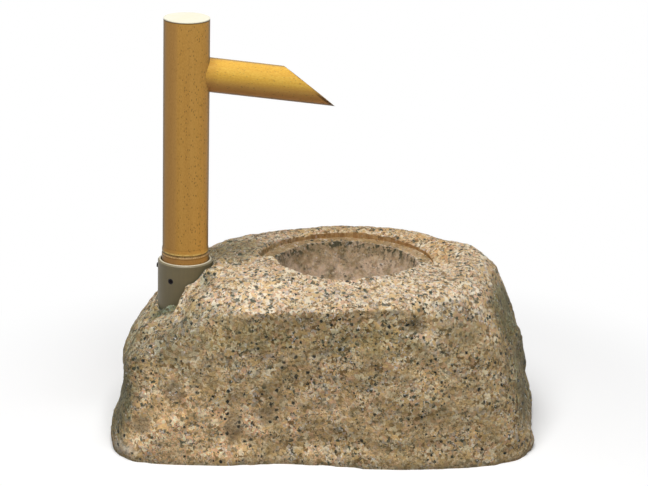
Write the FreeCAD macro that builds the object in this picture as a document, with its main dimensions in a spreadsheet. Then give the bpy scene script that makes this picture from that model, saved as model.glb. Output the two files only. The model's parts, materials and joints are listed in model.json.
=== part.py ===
import FreeCAD, Part
import math
import os
import re

import Sketcher

# A garden water basin: a granite boulder with a turned bowl, and a bamboo post whose spout fills it.
# Millimetres, +Z up. The origin lies under the middle of the bowl, on the ground. +X is to the right
# when the basin is seen from its front, and +Y is away from whoever stands there.

SIZES = [
    ("reach_right", 256, "boulder, bowl middle to its right side"),
    ("reach_left", 309, "boulder, bowl middle to its left side"),
    ("reach_front", 206, "boulder, bowl middle to its front"),
    ("reach_back", 190, "boulder, bowl middle to its back"),
    ("stone_rise", 222, "boulder, ground to its crest"),
    ("ledge_radius", 115, "outside of the ledge behind the bowl"),
    ("ledge_front", 10, "ledge, how far it comes forward of the bowl middle"),
    ("ledge_drop", 14, "ledge below the crest"),
    ("ledge_flare", 4, "how much the wall over the ledge leans out"),
    ("bowl_radius", 95, "mouth of the bowl"),
    ("bowl_depth", 106, "ledge to the bowl floor"),
    ("bowl_floor_radius", 60, "bowl floor, before its corner is rounded"),
    ("bowl_corner", 38, "rounding between bowl floor and wall"),
    ("bowl_flare", 6, "how much the bowl widens above the ledge, at the front"),
    ("post_place_x", -213.4, "post axis from the bowl middle"),
    ("post_place_y", -35, "post axis from the bowl middle"),
    ("sleeve_od", 72, "plastic pipe the post stands in"),
    ("sleeve_wall", 3.5, "wall of that pipe"),
    ("sleeve_length", 120.4, "length of that pipe"),
    ("sleeve_rise", 222.6, "ground to the sleeve rim"),
    ("rim_bevel", 2.2, "bevel round the sleeve rim"),
    ("grout_gap", 3, "mortar between sleeve and stone"),
    ("gully_start_radius", 18, "hollow broken out of the stone before the sleeve, at the post axis"),
    ("gully_end_radius", 90, "that hollow at its far end"),
    ("gully_length", 300, "post axis to the far end of that hollow"),
    ("gully_heading", -37, "that hollow, turned left from the front"),
    ("gully_fall", 14, "fall of that hollow"),
    ("gully_drop", 25, "sleeve rim to the middle of that hollow at the post axis"),
    ("seat_height", 20, "ring in the sleeve that carries the post"),
    ("seat_bore", 46, "hole in that ring"),
    ("seat_gap", 0.3, "play under the post foot"),
    ("sump_radius", 30, "pocket for the pipes below the sleeve"),
    ("sump_depth", 40, "depth of that pocket"),
    ("post_od", 60, "bamboo post"),
    ("post_foot_od", 62, "bamboo post below its joint"),
    ("post_ridge_od", 61.4, "raised ring at the joint of the bamboo"),
    ("post_wall", 5, "wall of the bamboo post"),
    ("post_length", 385.4, "bamboo post, foot to top"),
    ("post_insert", 62.8, "sleeve rim to the post foot"),
    ("ridge_height", 75.8, "post foot to the raised ring"),
    ("ridge_width", 2, "flat of that ring"),
    ("ridge_spread", 5, "raised ring to where the bamboo is plain again"),
    ("groove_drop", 3, "raised ring to the groove under it"),
    ("groove_depth", 0.3, "depth of that groove"),
    ("plug_height", 12, "plug in the post foot"),
    ("guide_height", 6, "spacer that centres the riser"),
    ("guide_rise", 210, "post foot to that spacer"),
    ("cap_thick", 1.2, "disc of the post cap"),
    ("cap_skirt", 12, "skirt of the cap inside the post"),
    ("cap_skirt_wall", 2, "wall of that skirt"),
    ("cap_edge", 0.5, "rounding of the cap"),
    ("cap_gap", 0.1, "play between cap and post"),
    ("spout_od", 45, "bamboo spout"),
    ("spout_wall", 4, "wall of the bamboo spout"),
    ("spout_drop", 70.6, "post top to where the spout axis meets the post axis"),
    ("spout_start", 15, "post axis to the root of the spout"),
    ("spout_length", 192, "root of the spout to its tip"),
    ("spout_turn", 17, "heading of the spout, turned back from +X"),
    ("spout_slope", 9.4, "fall of the spout"),
    ("spout_cut", 30, "slant cut of the spout against its axis"),
    ("spout_play", 0.3, "play of the spout in its hole"),
    ("pipe_od", 15, "copper pipe"),
    ("pipe_wall", 1, "wall of the copper pipe"),
    ("pipe_play", 0.05, "play where the riser turns in its socket"),
    ("elbow_arm", 26, "corner of a pipe elbow to the mouth of its arm"),
    ("elbow_seat", 12, "corner of a pipe elbow to the end of the pipe in it"),
    ("elbow_knuckle", 0.5, "how much the corner of an elbow bulges"),
    ("fitting_wall", 2.5, "wall of a pipe fitting round the pipe"),
    ("waterway_bore", 12, "bore through a pipe fitting"),
    ("outlet_end", 75, "post axis to the end of the outlet pipe"),
    ("bush_start", 34, "post axis to the rubber bush in the spout"),
    ("bush_length", 12, "length of that bush"),
    ("pipe_drop", 18, "sleeve foot to the middle of the supply pipe"),
    ("inlet_elbow_od", 24, "standing arm of the inlet elbow"),
    ("inlet_elbow_height", 60, "pocket floor to the top of the inlet elbow"),
    ("inlet_elbow_floor", 10, "pocket floor to the waterway of the inlet elbow"),
    ("riser_start", 35, "pocket floor to the foot of the riser"),
    ("seal_section", 2.5, "thickness of the rubber ring"),
    ("seal_room", 3, "depth of the chamber that holds the rubber ring"),
    ("seal_play", 0.1, "play round the rubber ring"),
    ("gland_flats", 30, "gland nut across its flats"),
    ("gland_height", 20, "height of the gland nut"),
    ("gland_cover", 5, "top of the gland nut above the elbow"),
    ("gland_play", 0.3, "play of the riser in the gland nut"),
    ("pipe_bore_radius", 14, "hole from the back of the boulder"),
    ("grommet_length", 18, "rubber grommet in that hole"),
    ("grommet_gap", 7, "grommet to the inlet adapter"),
    ("inlet_body", 16, "socket of the inlet adapter"),
    ("inlet_flats", 27, "hexagon of the inlet adapter"),
    ("inlet_hex", 8, "length of that hexagon"),
    ("inlet_thread_od", 20.96, "half inch pipe thread"),
    ("inlet_thread_length", 14, "length of that thread"),
    ("inlet_set_back", 27, "thread end before the furthest point of the back"),
    ("drain_od", 32, "drain tube"),
    ("drain_bore", 23, "waterway of the drain tube"),
    ("drain_socket_bore", 26, "socket for a pipe at its lower end"),
    ("drain_socket_depth", 30, "depth of that socket"),
    ("drain_hole_play", 1, "play of the drain tube in the stone"),
    ("flange_od", 50, "flange of the drain"),
    ("flange_thick", 3, "thickness of that flange"),
    ("gasket_thick", 1.5, "rubber under the flange"),
    ("recess_radius", 34, "pocket in the underside for the drain nut"),
    ("recess_depth", 26, "depth of that pocket"),
    ("drain_nut_flats", 46, "drain nut across its flats"),
    ("drain_nut_height", 12, "height of the drain nut"),
    ("stopper_play", 0.3, "play of the stopper in the drain"),
    ("stopper_gap", 0.1, "play between the stopper's disc and the flange"),
    ("stopper_taper", 0.8, "how much the stopper narrows downwards"),
    ("stopper_length", 14, "stopper inside the drain"),
    ("stopper_od", 34, "disc of the stopper"),
    ("stopper_disc", 4, "thickness of that disc"),
    ("lug_thick", 3, "eye on the stopper"),
    ("lug_width", 8, "width of that eye"),
    ("lug_height", 6, "height of that eye"),
    ("lug_hole", 3.2, "hole in that eye"),
    ("lug_hole_rise", 0.1, "that hole above the stopper's disc"),
    ("ring_radius", 8, "pull ring, middle of its wire"),
    ("ring_wire", 2, "wire of the pull ring"),
    ("ring_play", 0.3, "pull ring above the stopper"),
    ("screw_od", 6, "set screw"),
    ("screw_play", 0.3, "play of a set screw in its hole"),
    ("screw_gap", 0.3, "set screw tip from the post"),
    ("screw_front_length", 4.2, "set screw at the front"),
    ("screw_side_length", 6.5, "set screws at the side and the back"),
    ("screw_front_drop", 22.8, "front set screw below the sleeve rim"),
    ("screw_side_drop", 11.8, "other set screws below the sleeve rim"),
    ("screw_heading", -29, "front set screw, turned left from the front"),
    ("screw_step", -68, "turn from one set screw to the next"),
    ("screw_key", 3, "hexagon hole of a set screw across its flats"),
    ("screw_key_depth", 2, "depth of that hole"),
]

# The boulder's outline from above where it is widest, as shares of its reach to either side, going
# round from the right by way of the back.
PLAN = [
    (1.00, -0.05), (0.80, 0.71), (0.35, 0.98), (-0.19, 1.00), (-0.62, 0.80), (-0.88, 0.45),
    (-0.97, 0.00), (-1.00, -0.55), (-0.92, -0.91), (-0.69, -1.02), (-0.39, -0.96), (-0.10, -0.94),
    (0.27, -1.00), (0.51, -0.95), (0.83, -0.83), (0.97, -0.53),
]

# The boulder's levels from the ground up. Each holds its reach to the right, left, front and back as
# shares of the widest, its height on those four sides as shares of the crest, and its roundness.
LEVELS = [
    ((0.975, 0.965, 0.975, 0.940), (0.000, 0.000, 0.000, 0.000), 0.00),
    ((1.000, 0.990, 0.990, 1.000), (0.118, 0.118, 0.118, 0.118), 0.00),
    ((0.955, 0.965, 0.985, 0.990), (0.316, 0.316, 0.316, 0.316), 0.05),
    ((0.893, 0.930, 0.966, 0.958), (0.541, 0.541, 0.541, 0.541), 0.15),
    ((0.825, 0.845, 0.937, 0.900), (0.757, 0.748, 0.757, 0.750), 0.30),
    ((0.735, 0.730, 0.880, 0.810), (0.923, 0.883, 0.897, 0.903), 0.50),
    ((0.586, 0.580, 0.700, 0.660), (0.978, 0.964, 0.966, 0.972), 0.80),
    ((0.371, 0.307, 0.461, 0.500), (1.000, 1.000, 1.000, 1.000), 1.00),
]

# The set screws: name, turn left from the front, drop below the sleeve rim, length.
SCREWS = [
    ("set_screw_front", "screw_heading", "screw_front_drop", "screw_front_length"),
    ("set_screw_left", "(screw_heading + screw_step)", "screw_side_drop", "screw_side_length"),
    ("set_screw_rear", "(screw_heading + 2 * screw_step)", "screw_side_drop", "screw_side_length"),
]

RIM = "sleeve_rise"
SLEEVE_FOOT = f"({RIM} - sleeve_length)"
SUMP_FLOOR = f"({SLEEVE_FOOT} - sump_depth)"
SUPPLY_AXIS = f"({SLEEVE_FOOT} - pipe_drop)"
POST_FOOT = f"({RIM} - post_insert)"
SPOUT_AXIS = f"({POST_FOOT} + post_length - spout_drop)"
LEDGE = "(stone_rise - ledge_drop)"
BOWL_FLOOR = f"({LEDGE} - bowl_depth)"
FLANGE_FOOT = f"({BOWL_FLOOR} + gasket_thick)"
FLANGE_TOP = f"({FLANGE_FOOT} + flange_thick)"
SLEEVE_BORE = "(sleeve_od / 2 - sleeve_wall)"
GROUT_RADIUS = "(sleeve_od / 2 + grout_gap)"
POST_BORE = "(post_od / 2 - post_wall)"
SPOUT_BORE = "(spout_od / 2 - spout_wall)"
FITTING_RADIUS = "(pipe_od / 2 + fitting_wall)"
HEX_CORNER = "/ 2 / cos(30)"
SUPPLY_END = "(reach_back - inlet_set_back - post_place_y)"
POST_PLACE = ("post_place_x", "post_place_y")
OVERCUT = 60
OVERLAP = 1
MATCH = 0.01

doc = FreeCAD.newDocument("WaterBasin")
sheet = doc.addObject("Spreadsheet::Sheet", "Sizes")
parts = []


def fill_sheet():
    """Write every size into the sheet with its name and its meaning."""
    for row, (name, value, meaning) in enumerate(SIZES, start=1):
        sheet.set(f"A{row}", meaning)
        sheet.set(f"B{row}", str(value))
        sheet.setAlias(f"B{row}", name)
    doc.recompute()


def bound(text):
    """Return a formula in which each size is read from the sheet."""
    return re.sub(r"\b([a-z]+(?:_[a-z]+)+)\b", r"Sizes.\1", str(text))


def size(text):
    """Return the present value of a formula."""
    return float(sheet.evalExpression(str(text)))


def place(thing, x="0", y="0", z="0", yaw="0", pitch="0"):
    """Bind where a thing stands: first tipped over +Y by pitch, then turned about +Z by yaw."""
    thing.setExpression(
        "Placement",
        bound(f"placement(vector({x}; {y}; {z}); rotation({yaw}; {pitch}; 0))"),
    )
    return thing


def at_post(thing, z, yaw="0", pitch="0"):
    """Bind a thing to the post axis at a height."""
    return place(thing, *POST_PLACE, z, yaw, pitch)


def along_spout(thing, start="0"):
    """Bind a thing to the spout's axis, at a distance from the post axis."""
    turn = "rotation(spout_turn; 90 + spout_slope; 0)"
    corner = f"placement(vector({POST_PLACE[0]}; {POST_PLACE[1]}; {SPOUT_AXIS}); {turn})"
    shift = f"placement(vector(0; 0; {start}); rotation(0; 0; 0))"
    thing.setExpression("Placement", bound(f"{corner} * {shift}"))
    return thing


def along_supply(thing, start="0"):
    """Bind a thing to the supply pipe's axis, at a distance behind the post axis."""
    return place(thing, POST_PLACE[0], f"{POST_PLACE[1]} + {start}", SUPPLY_AXIS, "90", "90")


def keep(thing):
    """Count a thing as one finished piece of the basin."""
    parts.append(thing)
    return thing


def lathe(label, corners):
    """Turn a closed outline of (radius, height) corners about +Z."""
    body = doc.addObject("PartDesign::Body", label)
    body.Label = label
    sketch = body.newObject("Sketcher::SketchObject", f"{label}_outline")
    plane = [f for f in body.Origin.OriginFeatures if f.Role == "XZ_Plane"][0]
    sketch.AttachmentSupport = [(plane, "")]
    sketch.MapMode = "FlatFace"
    spots = [FreeCAD.Vector(size(radius), size(height), 0) for radius, height in corners]
    count = len(spots)
    edges = [Part.LineSegment(spots[i], spots[(i + 1) % count]) for i in range(count)]
    sketch.addGeometry(edges, False)
    for i in range(count):
        sketch.addConstraint(Sketcher.Constraint("Coincident", i, 2, (i + 1) % count, 1))
    for i, (radius, height) in enumerate(corners):
        for kind, text, value in (("DistanceX", radius, spots[i].x), ("DistanceY", height, spots[i].y)):
            number = sketch.addConstraint(Sketcher.Constraint(kind, -1, 1, i, 1, value))
            sketch.setExpression(f"Constraints[{number}]", bound(text))
    turned = body.newObject("PartDesign::Revolution", f"{label}_turned")
    turned.Profile = sketch
    turned.ReferenceAxis = (sketch, ["V_Axis"])
    turned.Angle = 360
    doc.recompute()
    return body


def tube(label, outer, inner, height):
    """Turn a plain tube that stands on its own base plane."""
    return lathe(label, [(inner, "0"), (outer, "0"), (outer, height), (inner, height)])


def soften(body, radius, ring_radius, ring_height):
    """Round the circular edge that has this radius and height."""
    base = body.Tip
    names = []
    for number, edge in enumerate(base.Shape.Edges, start=1):
        curve = edge.Curve
        if not isinstance(curve, Part.Circle):
            continue
        same_radius = abs(curve.Radius - size(ring_radius)) < MATCH
        same_height = abs(curve.Center.z - size(ring_height)) < MATCH
        if same_radius and same_height:
            names.append(f"Edge{number}")
    fillet = body.newObject("PartDesign::Fillet", f"{body.Label}_rounding")
    fillet.Base = (base, names)
    fillet.setExpression("Radius", bound(radius))
    body.Tip = fillet
    doc.recompute()
    return body


def rod(label, radius, height):
    """Make a cylinder that stands on its own base plane."""
    cylinder = doc.addObject("Part::Cylinder", label)
    cylinder.setExpression("Radius", bound(radius))
    cylinder.setExpression("Height", bound(height))
    return cylinder


def block(label, length, width, height):
    """Make a box with one corner at its own origin."""
    box = doc.addObject("Part::Box", label)
    box.setExpression("Length", bound(length))
    box.setExpression("Width", bound(width))
    box.setExpression("Height", bound(height))
    return box


def hexagon(label, flats, height):
    """Make a hexagonal prism from its width across the flats."""
    prism = doc.addObject("Part::Prism", label)
    prism.Polygon = 6
    prism.setExpression("Circumradius", bound(f"{flats} {HEX_CORNER}"))
    prism.setExpression("Height", bound(height))
    return prism


def join(label, things):
    """Fuse things into one."""
    fused = doc.addObject("Part::MultiFuse", label)
    fused.Shapes = things
    return fused


def carve(label, base, tools):
    """Cut tools out of a base and check that they did cut."""
    tool = tools[0] if len(tools) == 1 else join(f"{label}_hollows", tools)
    result = doc.addObject("Part::Cut", label)
    result.Label = label
    result.Base = base
    result.Tool = tool
    doc.recompute()
    if result.Shape.Volume >= base.Shape.Volume:
        raise RuntimeError(f"{label}: a cut took nothing away")
    return result


def level_curve(reach, rise, roundness):
    """Draw one closed level of the boulder through the outline's points."""
    names = ("reach_right", "reach_left", "reach_front", "reach_back")
    right, left, front, back = (size(name) * share for name, share in zip(names, reach))
    crest = size("stone_rise")
    points = []
    for across, along in PLAN:
        length = math.hypot(across, along)
        across_unit, along_unit = across / length, along / length
        across_share = across + (across_unit - across) * roundness
        along_share = along + (along_unit - along) * roundness
        x = across_share * (right if across > 0 else left)
        y = along_share * (back if along > 0 else front)
        side_rise = rise[0] if across > 0 else rise[1]
        end_rise = rise[3] if along > 0 else rise[2]
        z = crest * (across_unit**2 * side_rise + along_unit**2 * end_rise)
        points.append(FreeCAD.Vector(x, y, z))
    curve = Part.BSplineCurve()
    curve.interpolate(Points=points, PeriodicFlag=True)
    return Part.Wire([curve.toShape()])


def make_blank():
    """Loft the uncut boulder."""
    blank = doc.addObject("Part::Feature", "boulder_loft")
    blank.Shape = Part.makeLoft([level_curve(*level) for level in LEVELS], True, False, False, 3)
    gully = doc.addObject("Part::Cone", "gully_form")
    gully.setExpression("Radius1", bound("gully_start_radius"))
    gully.setExpression("Radius2", bound("gully_end_radius"))
    gully.setExpression("Height", bound("gully_length"))
    at_post(gully, f"{RIM} - gully_drop", "-90 + gully_heading", "90 + gully_fall")
    return carve("boulder_blank", blank, [gully])


def make_ledge_form():
    """Make the hollow above the ledge, which runs round the sides and the back of the bowl."""
    height = f"ledge_drop + {OVERCUT}"
    disc = lathe("ledge_disc", [
        ("0", "0"), ("ledge_radius", "0"), ("ledge_radius + ledge_flare", height), ("0", height),
    ])
    side = "2 * ledge_radius"
    half = block("ledge_half", f"2 * {side}", side, f"{height} + 2 * {OVERLAP}")
    place(half, f"-{side}", "-ledge_front", f"-{OVERLAP}")
    form = doc.addObject("Part::Common", "ledge_form")
    form.Base = disc
    form.Tool = half
    return place(form, z=LEDGE)


def make_stone(blank):
    """Cut the bowl, the post's socket, the pipe run and the drain out of the boulder."""
    wall_top = f"bowl_depth + ledge_drop + {OVERCUT}"
    bowl = lathe("bowl_form", [
        ("0", "0"), ("bowl_floor_radius", "0"), ("bowl_radius", "bowl_depth"),
        ("bowl_radius + bowl_flare", wall_top), ("0", wall_top),
    ])
    soften(bowl, "bowl_corner", "bowl_floor_radius", "0")
    place(bowl, z=BOWL_FLOOR)
    socket = at_post(rod("socket_form", GROUT_RADIUS, f"sleeve_length + {OVERCUT}"), SLEEVE_FOOT)
    sump = at_post(rod("sump_form", "sump_radius", f"sump_depth + {OVERLAP}"), SUMP_FLOOR)
    pipe_run = rod("pipe_run_form", "pipe_bore_radius", f"reach_back - post_place_y + {OVERCUT}")
    at_post(pipe_run, SUPPLY_AXIS, "90", "90")
    drain = rod("drain_form", "drain_od / 2 + drain_hole_play", f"{BOWL_FLOOR} + {OVERCUT}")
    place(drain, z=f"-{OVERLAP}")
    recess_height = f"recess_depth + {OVERLAP}"
    recess = place(rod("recess_form", "recess_radius", recess_height), z=f"-{OVERLAP}")
    hollows = [bowl, make_ledge_form(), socket, sump, pipe_run, drain, recess]
    return keep(carve("stone_basin", blank, hollows))


def make_sleeve():
    """Make the pipe that holds the post, with a hole for each set screw."""
    outer = "sleeve_od / 2"
    body = lathe("sleeve_blank", [
        (SLEEVE_BORE, "0"), (outer, "0"), (outer, "sleeve_length - rim_bevel"),
        (f"{outer} - rim_bevel", "sleeve_length"), (SLEEVE_BORE, "sleeve_length"),
    ])
    at_post(body, SLEEVE_FOOT)
    holes = []
    for name, turn, drop, _ in SCREWS:
        hole = rod(f"{name}_hole", "screw_od / 2 + screw_play", "sleeve_od")
        at_post(hole, f"{RIM} - {drop}", f"-90 + {turn}", "90")
        holes.append(hole)
    return keep(carve("socket_sleeve", body, holes))


def make_grout(blank):
    """Fill the gap round the sleeve with mortar, up to the face of the boulder."""
    ring = tube("grout_ring", GROUT_RADIUS, "sleeve_od / 2", "sleeve_length")
    at_post(ring, SLEEVE_FOOT)
    grout = doc.addObject("Part::Common", "socket_grout")
    grout.Base = blank
    grout.Tool = ring
    return keep(grout)


def make_seat():
    """Make the ring in the sleeve that carries the post."""
    ring = tube("post_seat_ring", SLEEVE_BORE, "seat_bore / 2", "seat_height")
    return keep(at_post(ring, f"{POST_FOOT} - seat_gap - seat_height"))


def make_screws():
    """Make the set screws that lock the post, each with a hexagon hole in its outer end."""
    tip = "(post_foot_od / 2 + screw_gap)"
    for name, turn, drop, length in SCREWS:
        shank = rod(f"{name}_shank", "screw_od / 2", length)
        key = hexagon(f"{name}_key", "screw_key", f"screw_key_depth + {OVERLAP}")
        place(key, z=f"{length} - screw_key_depth")
        screw = keep(carve(name, shank, [key]))
        heading = f"(-90 + {turn})"
        at_tip_x = f"post_place_x + {tip} * cos{heading}"
        at_tip_y = f"post_place_y + {tip} * sin{heading}"
        place(screw, at_tip_x, at_tip_y, f"{RIM} - {drop}", heading, "90")


def make_post():
    """Make the bamboo post with its raised joint and the hole for the spout."""
    foot, post, ridge = "post_foot_od / 2", "post_od / 2", "post_ridge_od / 2"
    body = lathe("post_blank", [
        (POST_BORE, "0"), (foot, "0"), (foot, "ridge_height - ridge_spread"),
        (f"{post} - groove_depth", "ridge_height - groove_drop"),
        (ridge, "ridge_height - ridge_width / 2"), (ridge, "ridge_height + ridge_width / 2"),
        (post, "ridge_height + ridge_spread"), (post, "post_length"), (POST_BORE, "post_length"),
    ])
    at_post(body, POST_FOOT)
    hole = rod("spout_hole", "spout_od / 2 + spout_play", "post_od")
    at_post(hole, SPOUT_AXIS, "spout_turn", "90 + spout_slope")
    return keep(carve("bamboo_post", body, [hole]))


def make_post_fillings():
    """Make the plug in the post's foot and the spacer that holds the riser in its middle."""
    plug = tube("post_foot_plug", POST_BORE, "pipe_od / 2", "plug_height")
    keep(at_post(plug, POST_FOOT))
    guide = tube("pipe_guide", POST_BORE, "pipe_od / 2", "guide_height")
    keep(at_post(guide, f"{POST_FOOT} + guide_rise"))


def make_cap():
    """Make the cap: a disc with a skirt that hangs into the post."""
    skirt = f"({POST_BORE} - cap_gap)"
    top = "cap_skirt + cap_thick"
    body = lathe("post_cap", [
        ("0", "cap_skirt"), (f"{skirt} - cap_skirt_wall", "cap_skirt"), (f"{skirt} - cap_skirt_wall", "0"),
        (skirt, "0"), (skirt, "cap_skirt"), ("post_od / 2", "cap_skirt"), ("post_od / 2", top), ("0", top),
    ])
    soften(body, "cap_edge", "post_od / 2", top)
    return keep(at_post(body, f"{POST_FOOT} + post_length + cap_gap - cap_skirt"))


def make_spout():
    """Make the bamboo spout, cut slantwise so that its lower lip reaches furthest."""
    pipe = place(tube("spout_blank", "spout_od / 2", SPOUT_BORE, "spout_length"), z="spout_start")
    side = "(4 * spout_od)"
    slant = block("spout_slant", f"2 * {side}", side, side)
    tip = "(spout_start + spout_length)"
    corner_x = f"spout_od / 2 - {side} * sin(spout_cut)"
    place(slant, corner_x, f"-{side} / 2", f"{tip} - {side} * cos(spout_cut)", "0", "spout_cut - 90")
    keep(along_spout(carve("bamboo_spout", pipe, [slant])))
    bush = tube("spout_bush", SPOUT_BORE, "pipe_od / 2 + pipe_play", "bush_length")
    keep(along_spout(bush, "bush_start"))


def make_riser():
    """Make the pipe up the post, its elbow and the short pipe that feeds the spout."""
    bore = "pipe_od / 2 - pipe_wall"
    foot = f"({SUMP_FLOOR} + riser_start)"
    riser = tube("riser_pipe", "pipe_od / 2", bore, f"{SPOUT_AXIS} - elbow_seat - {foot}")
    keep(at_post(riser, foot))
    outlet = tube("outlet_pipe", "pipe_od / 2", bore, "outlet_end - elbow_seat")
    keep(along_spout(outlet, "elbow_seat"))
    knuckle = doc.addObject("Part::Sphere", "elbow_knuckle")
    knuckle.setExpression("Radius", bound(f"{FITTING_RADIUS} + elbow_knuckle"))
    at_post(knuckle, SPOUT_AXIS)
    arms = [knuckle]
    hollows = []
    for side in ("lower", "upper"):
        arm = rod(f"elbow_{side}_arm", FITTING_RADIUS, "elbow_arm")
        waterway = rod(f"elbow_{side}_waterway", "waterway_bore / 2", f"elbow_arm + {OVERLAP}")
        socket = rod(f"elbow_{side}_socket", "pipe_od / 2", "elbow_arm")
        if side == "lower":
            at_post(arm, f"{SPOUT_AXIS} - elbow_arm")
            at_post(waterway, f"{SPOUT_AXIS} - elbow_arm - {OVERLAP}")
            at_post(socket, f"{SPOUT_AXIS} - elbow_arm - elbow_seat")
        else:
            along_spout(arm)
            along_spout(waterway)
            along_spout(socket, "elbow_seat")
        arms.append(arm)
        hollows += [waterway, socket]
    keep(carve("riser_elbow", join("elbow_solid", arms), hollows))


def make_inlet_elbow():
    """Make the fixed elbow under the post, in which the riser turns on a rubber ring."""
    seal_seat = "(inlet_elbow_height - seal_room)"
    chamber = "(pipe_od / 2 + pipe_play + seal_section + seal_play)"
    body = lathe("inlet_elbow_body", [
        ("0", "0"), ("inlet_elbow_od / 2", "0"), ("inlet_elbow_od / 2", "inlet_elbow_height"),
        (chamber, "inlet_elbow_height"), (chamber, seal_seat), ("pipe_od / 2 + pipe_play", seal_seat),
        ("pipe_od / 2 + pipe_play", "riser_start"), ("0", "riser_start"),
    ])
    at_post(body, SUMP_FLOOR)
    branch = along_supply(rod("inlet_branch", FITTING_RADIUS, "elbow_arm"))
    solid = join("inlet_elbow_solid", [body, branch])
    across = along_supply(rod("inlet_waterway", "waterway_bore / 2", f"elbow_arm + {OVERLAP}"))
    socket = along_supply(rod("inlet_socket", "pipe_od / 2", "elbow_arm"), "elbow_seat")
    upright = rod("inlet_standing_way", "waterway_bore / 2", f"riser_start - inlet_elbow_floor + {OVERLAP}")
    at_post(upright, f"{SUMP_FLOOR} + inlet_elbow_floor")
    keep(carve("inlet_elbow", solid, [across, socket, upright]))
    ring = doc.addObject("Part::Torus", "riser_seal")
    ring.setExpression("Radius1", bound("pipe_od / 2 + pipe_play + seal_section / 2"))
    ring.setExpression("Radius2", bound("seal_section / 2"))
    keep(at_post(ring, f"{SUMP_FLOOR} + {seal_seat} + seal_play / 2 + seal_section / 2"))
    skirt = "(gland_height - gland_cover)"
    nut = hexagon("gland_hexagon", "gland_flats", "gland_height")
    thread = rod("gland_thread", "inlet_elbow_od / 2", skirt)
    hole = rod("gland_hole", "pipe_od / 2 + gland_play", f"gland_height + {OVERLAP}")
    gland = carve("gland_nut", nut, [thread, hole])
    keep(at_post(gland, f"{SUMP_FLOOR} + inlet_elbow_height - {skirt}"))


def make_supply():
    """Make the pipe that comes in from the back, its rubber grommet and its threaded end."""
    thread_start = f"({SUPPLY_END} - inlet_thread_length)"
    hex_start = f"({thread_start} - inlet_hex)"
    body_start = f"({hex_start} - inlet_body)"
    pipe = tube("supply_pipe", "pipe_od / 2", "pipe_od / 2 - pipe_wall", f"{hex_start} - elbow_seat")
    keep(along_supply(pipe, "elbow_seat"))
    grommet = tube("inlet_grommet", "pipe_bore_radius", "pipe_od / 2", "grommet_length")
    keep(along_supply(grommet, f"{body_start} - grommet_gap - grommet_length"))
    full = "inlet_body + inlet_hex + inlet_thread_length"
    socket = rod("adapter_body", FITTING_RADIUS, f"inlet_body + {OVERLAP}")
    nut = place(hexagon("adapter_hexagon", "inlet_flats", "inlet_hex"), z="inlet_body")
    thread = rod("adapter_thread", "inlet_thread_od / 2", f"inlet_thread_length + {OVERLAP}")
    place(thread, z=f"inlet_body + inlet_hex - {OVERLAP}")
    solid = join("adapter_solid", [socket, nut, thread])
    hollows = [
        rod("adapter_socket", "pipe_od / 2", "inlet_body"),
        rod("adapter_waterway", "waterway_bore / 2", f"{full} + {OVERLAP}"),
    ]
    keep(along_supply(carve("inlet_adapter", solid, hollows), body_start))


def make_drain():
    """Make the drain tube through the bowl floor, its gasket and the nut that holds it."""
    tube_radius, bore, socket = "drain_od / 2", "drain_bore / 2", "drain_socket_bore / 2"
    body = lathe("drain_tube", [
        (socket, "0"), (tube_radius, "0"), (tube_radius, FLANGE_FOOT), ("flange_od / 2", FLANGE_FOOT),
        ("flange_od / 2", FLANGE_TOP), (bore, FLANGE_TOP), (bore, "drain_socket_depth"),
        (socket, "drain_socket_depth"),
    ])
    keep(body)
    gasket = tube("drain_gasket", "flange_od / 2", tube_radius, "gasket_thick")
    keep(place(gasket, z=BOWL_FLOOR))
    nut = hexagon("drain_nut_hexagon", "drain_nut_flats", "drain_nut_height")
    thread = rod("drain_nut_thread", tube_radius, f"drain_nut_height + {OVERLAP}")
    nut = carve("drain_nut", nut, [thread])
    keep(place(nut, z="recess_depth - drain_nut_height"))


def make_stopper():
    """Make the rubber stopper with the eye and the ring that lift it."""
    plug = "(drain_bore / 2 - stopper_play)"
    disc_top = "(stopper_length + stopper_disc)"
    body = lathe("stopper_body", [
        ("0", "0"), (f"{plug} - stopper_taper", "0"), (plug, "stopper_length"),
        ("stopper_od / 2", "stopper_length"), ("stopper_od / 2", disc_top), ("0", disc_top),
    ])
    lug = block("stopper_eye", "lug_thick", "lug_width", f"lug_height + {OVERLAP}")
    place(lug, "-lug_thick / 2", "-lug_width / 2", f"{disc_top} - {OVERLAP}")
    hole = rod("stopper_eye_hole", "lug_hole / 2", "2 * lug_thick")
    place(hole, "-lug_thick", "0", f"{disc_top} + lug_hole_rise + lug_hole / 2", "0", "90")
    stopper = carve("drain_stopper", join("stopper_solid", [body, lug]), [hole])
    foot = f"({FLANGE_TOP} + stopper_gap - stopper_length)"
    keep(place(stopper, z=foot))
    ring = doc.addObject("Part::Torus", "stopper_ring")
    ring.setExpression("Radius1", bound("ring_radius"))
    ring.setExpression("Radius2", bound("ring_wire / 2"))
    keep(place(ring, "0", "ring_radius", f"{foot} + {disc_top} + ring_play + ring_wire / 2"))


fill_sheet()
boulder = make_blank()
make_stone(boulder)
make_sleeve()
make_grout(boulder)
make_seat()
make_screws()
make_post()
make_post_fillings()
make_cap()
make_spout()
make_riser()
make_inlet_elbow()
make_supply()
make_drain()
make_stopper()
doc.recompute()

for thing in doc.Objects:
    if "Invalid" in thing.State or "Error" in thing.State:
        raise RuntimeError(f"{thing.Label}: failed")
for thing in parts:
    if thing.Shape.isNull() or not thing.Shape.isValid():
        raise RuntimeError(f"{thing.Label}: bad shape")
os.makedirs("parts", exist_ok=True)
for thing in parts:
    thing.Shape.exportStep(f"parts/{thing.Label}.step")
    print(thing.Label, len(thing.Shape.Solids), round(thing.Shape.Volume / 1000, 2), "cm3")
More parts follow.
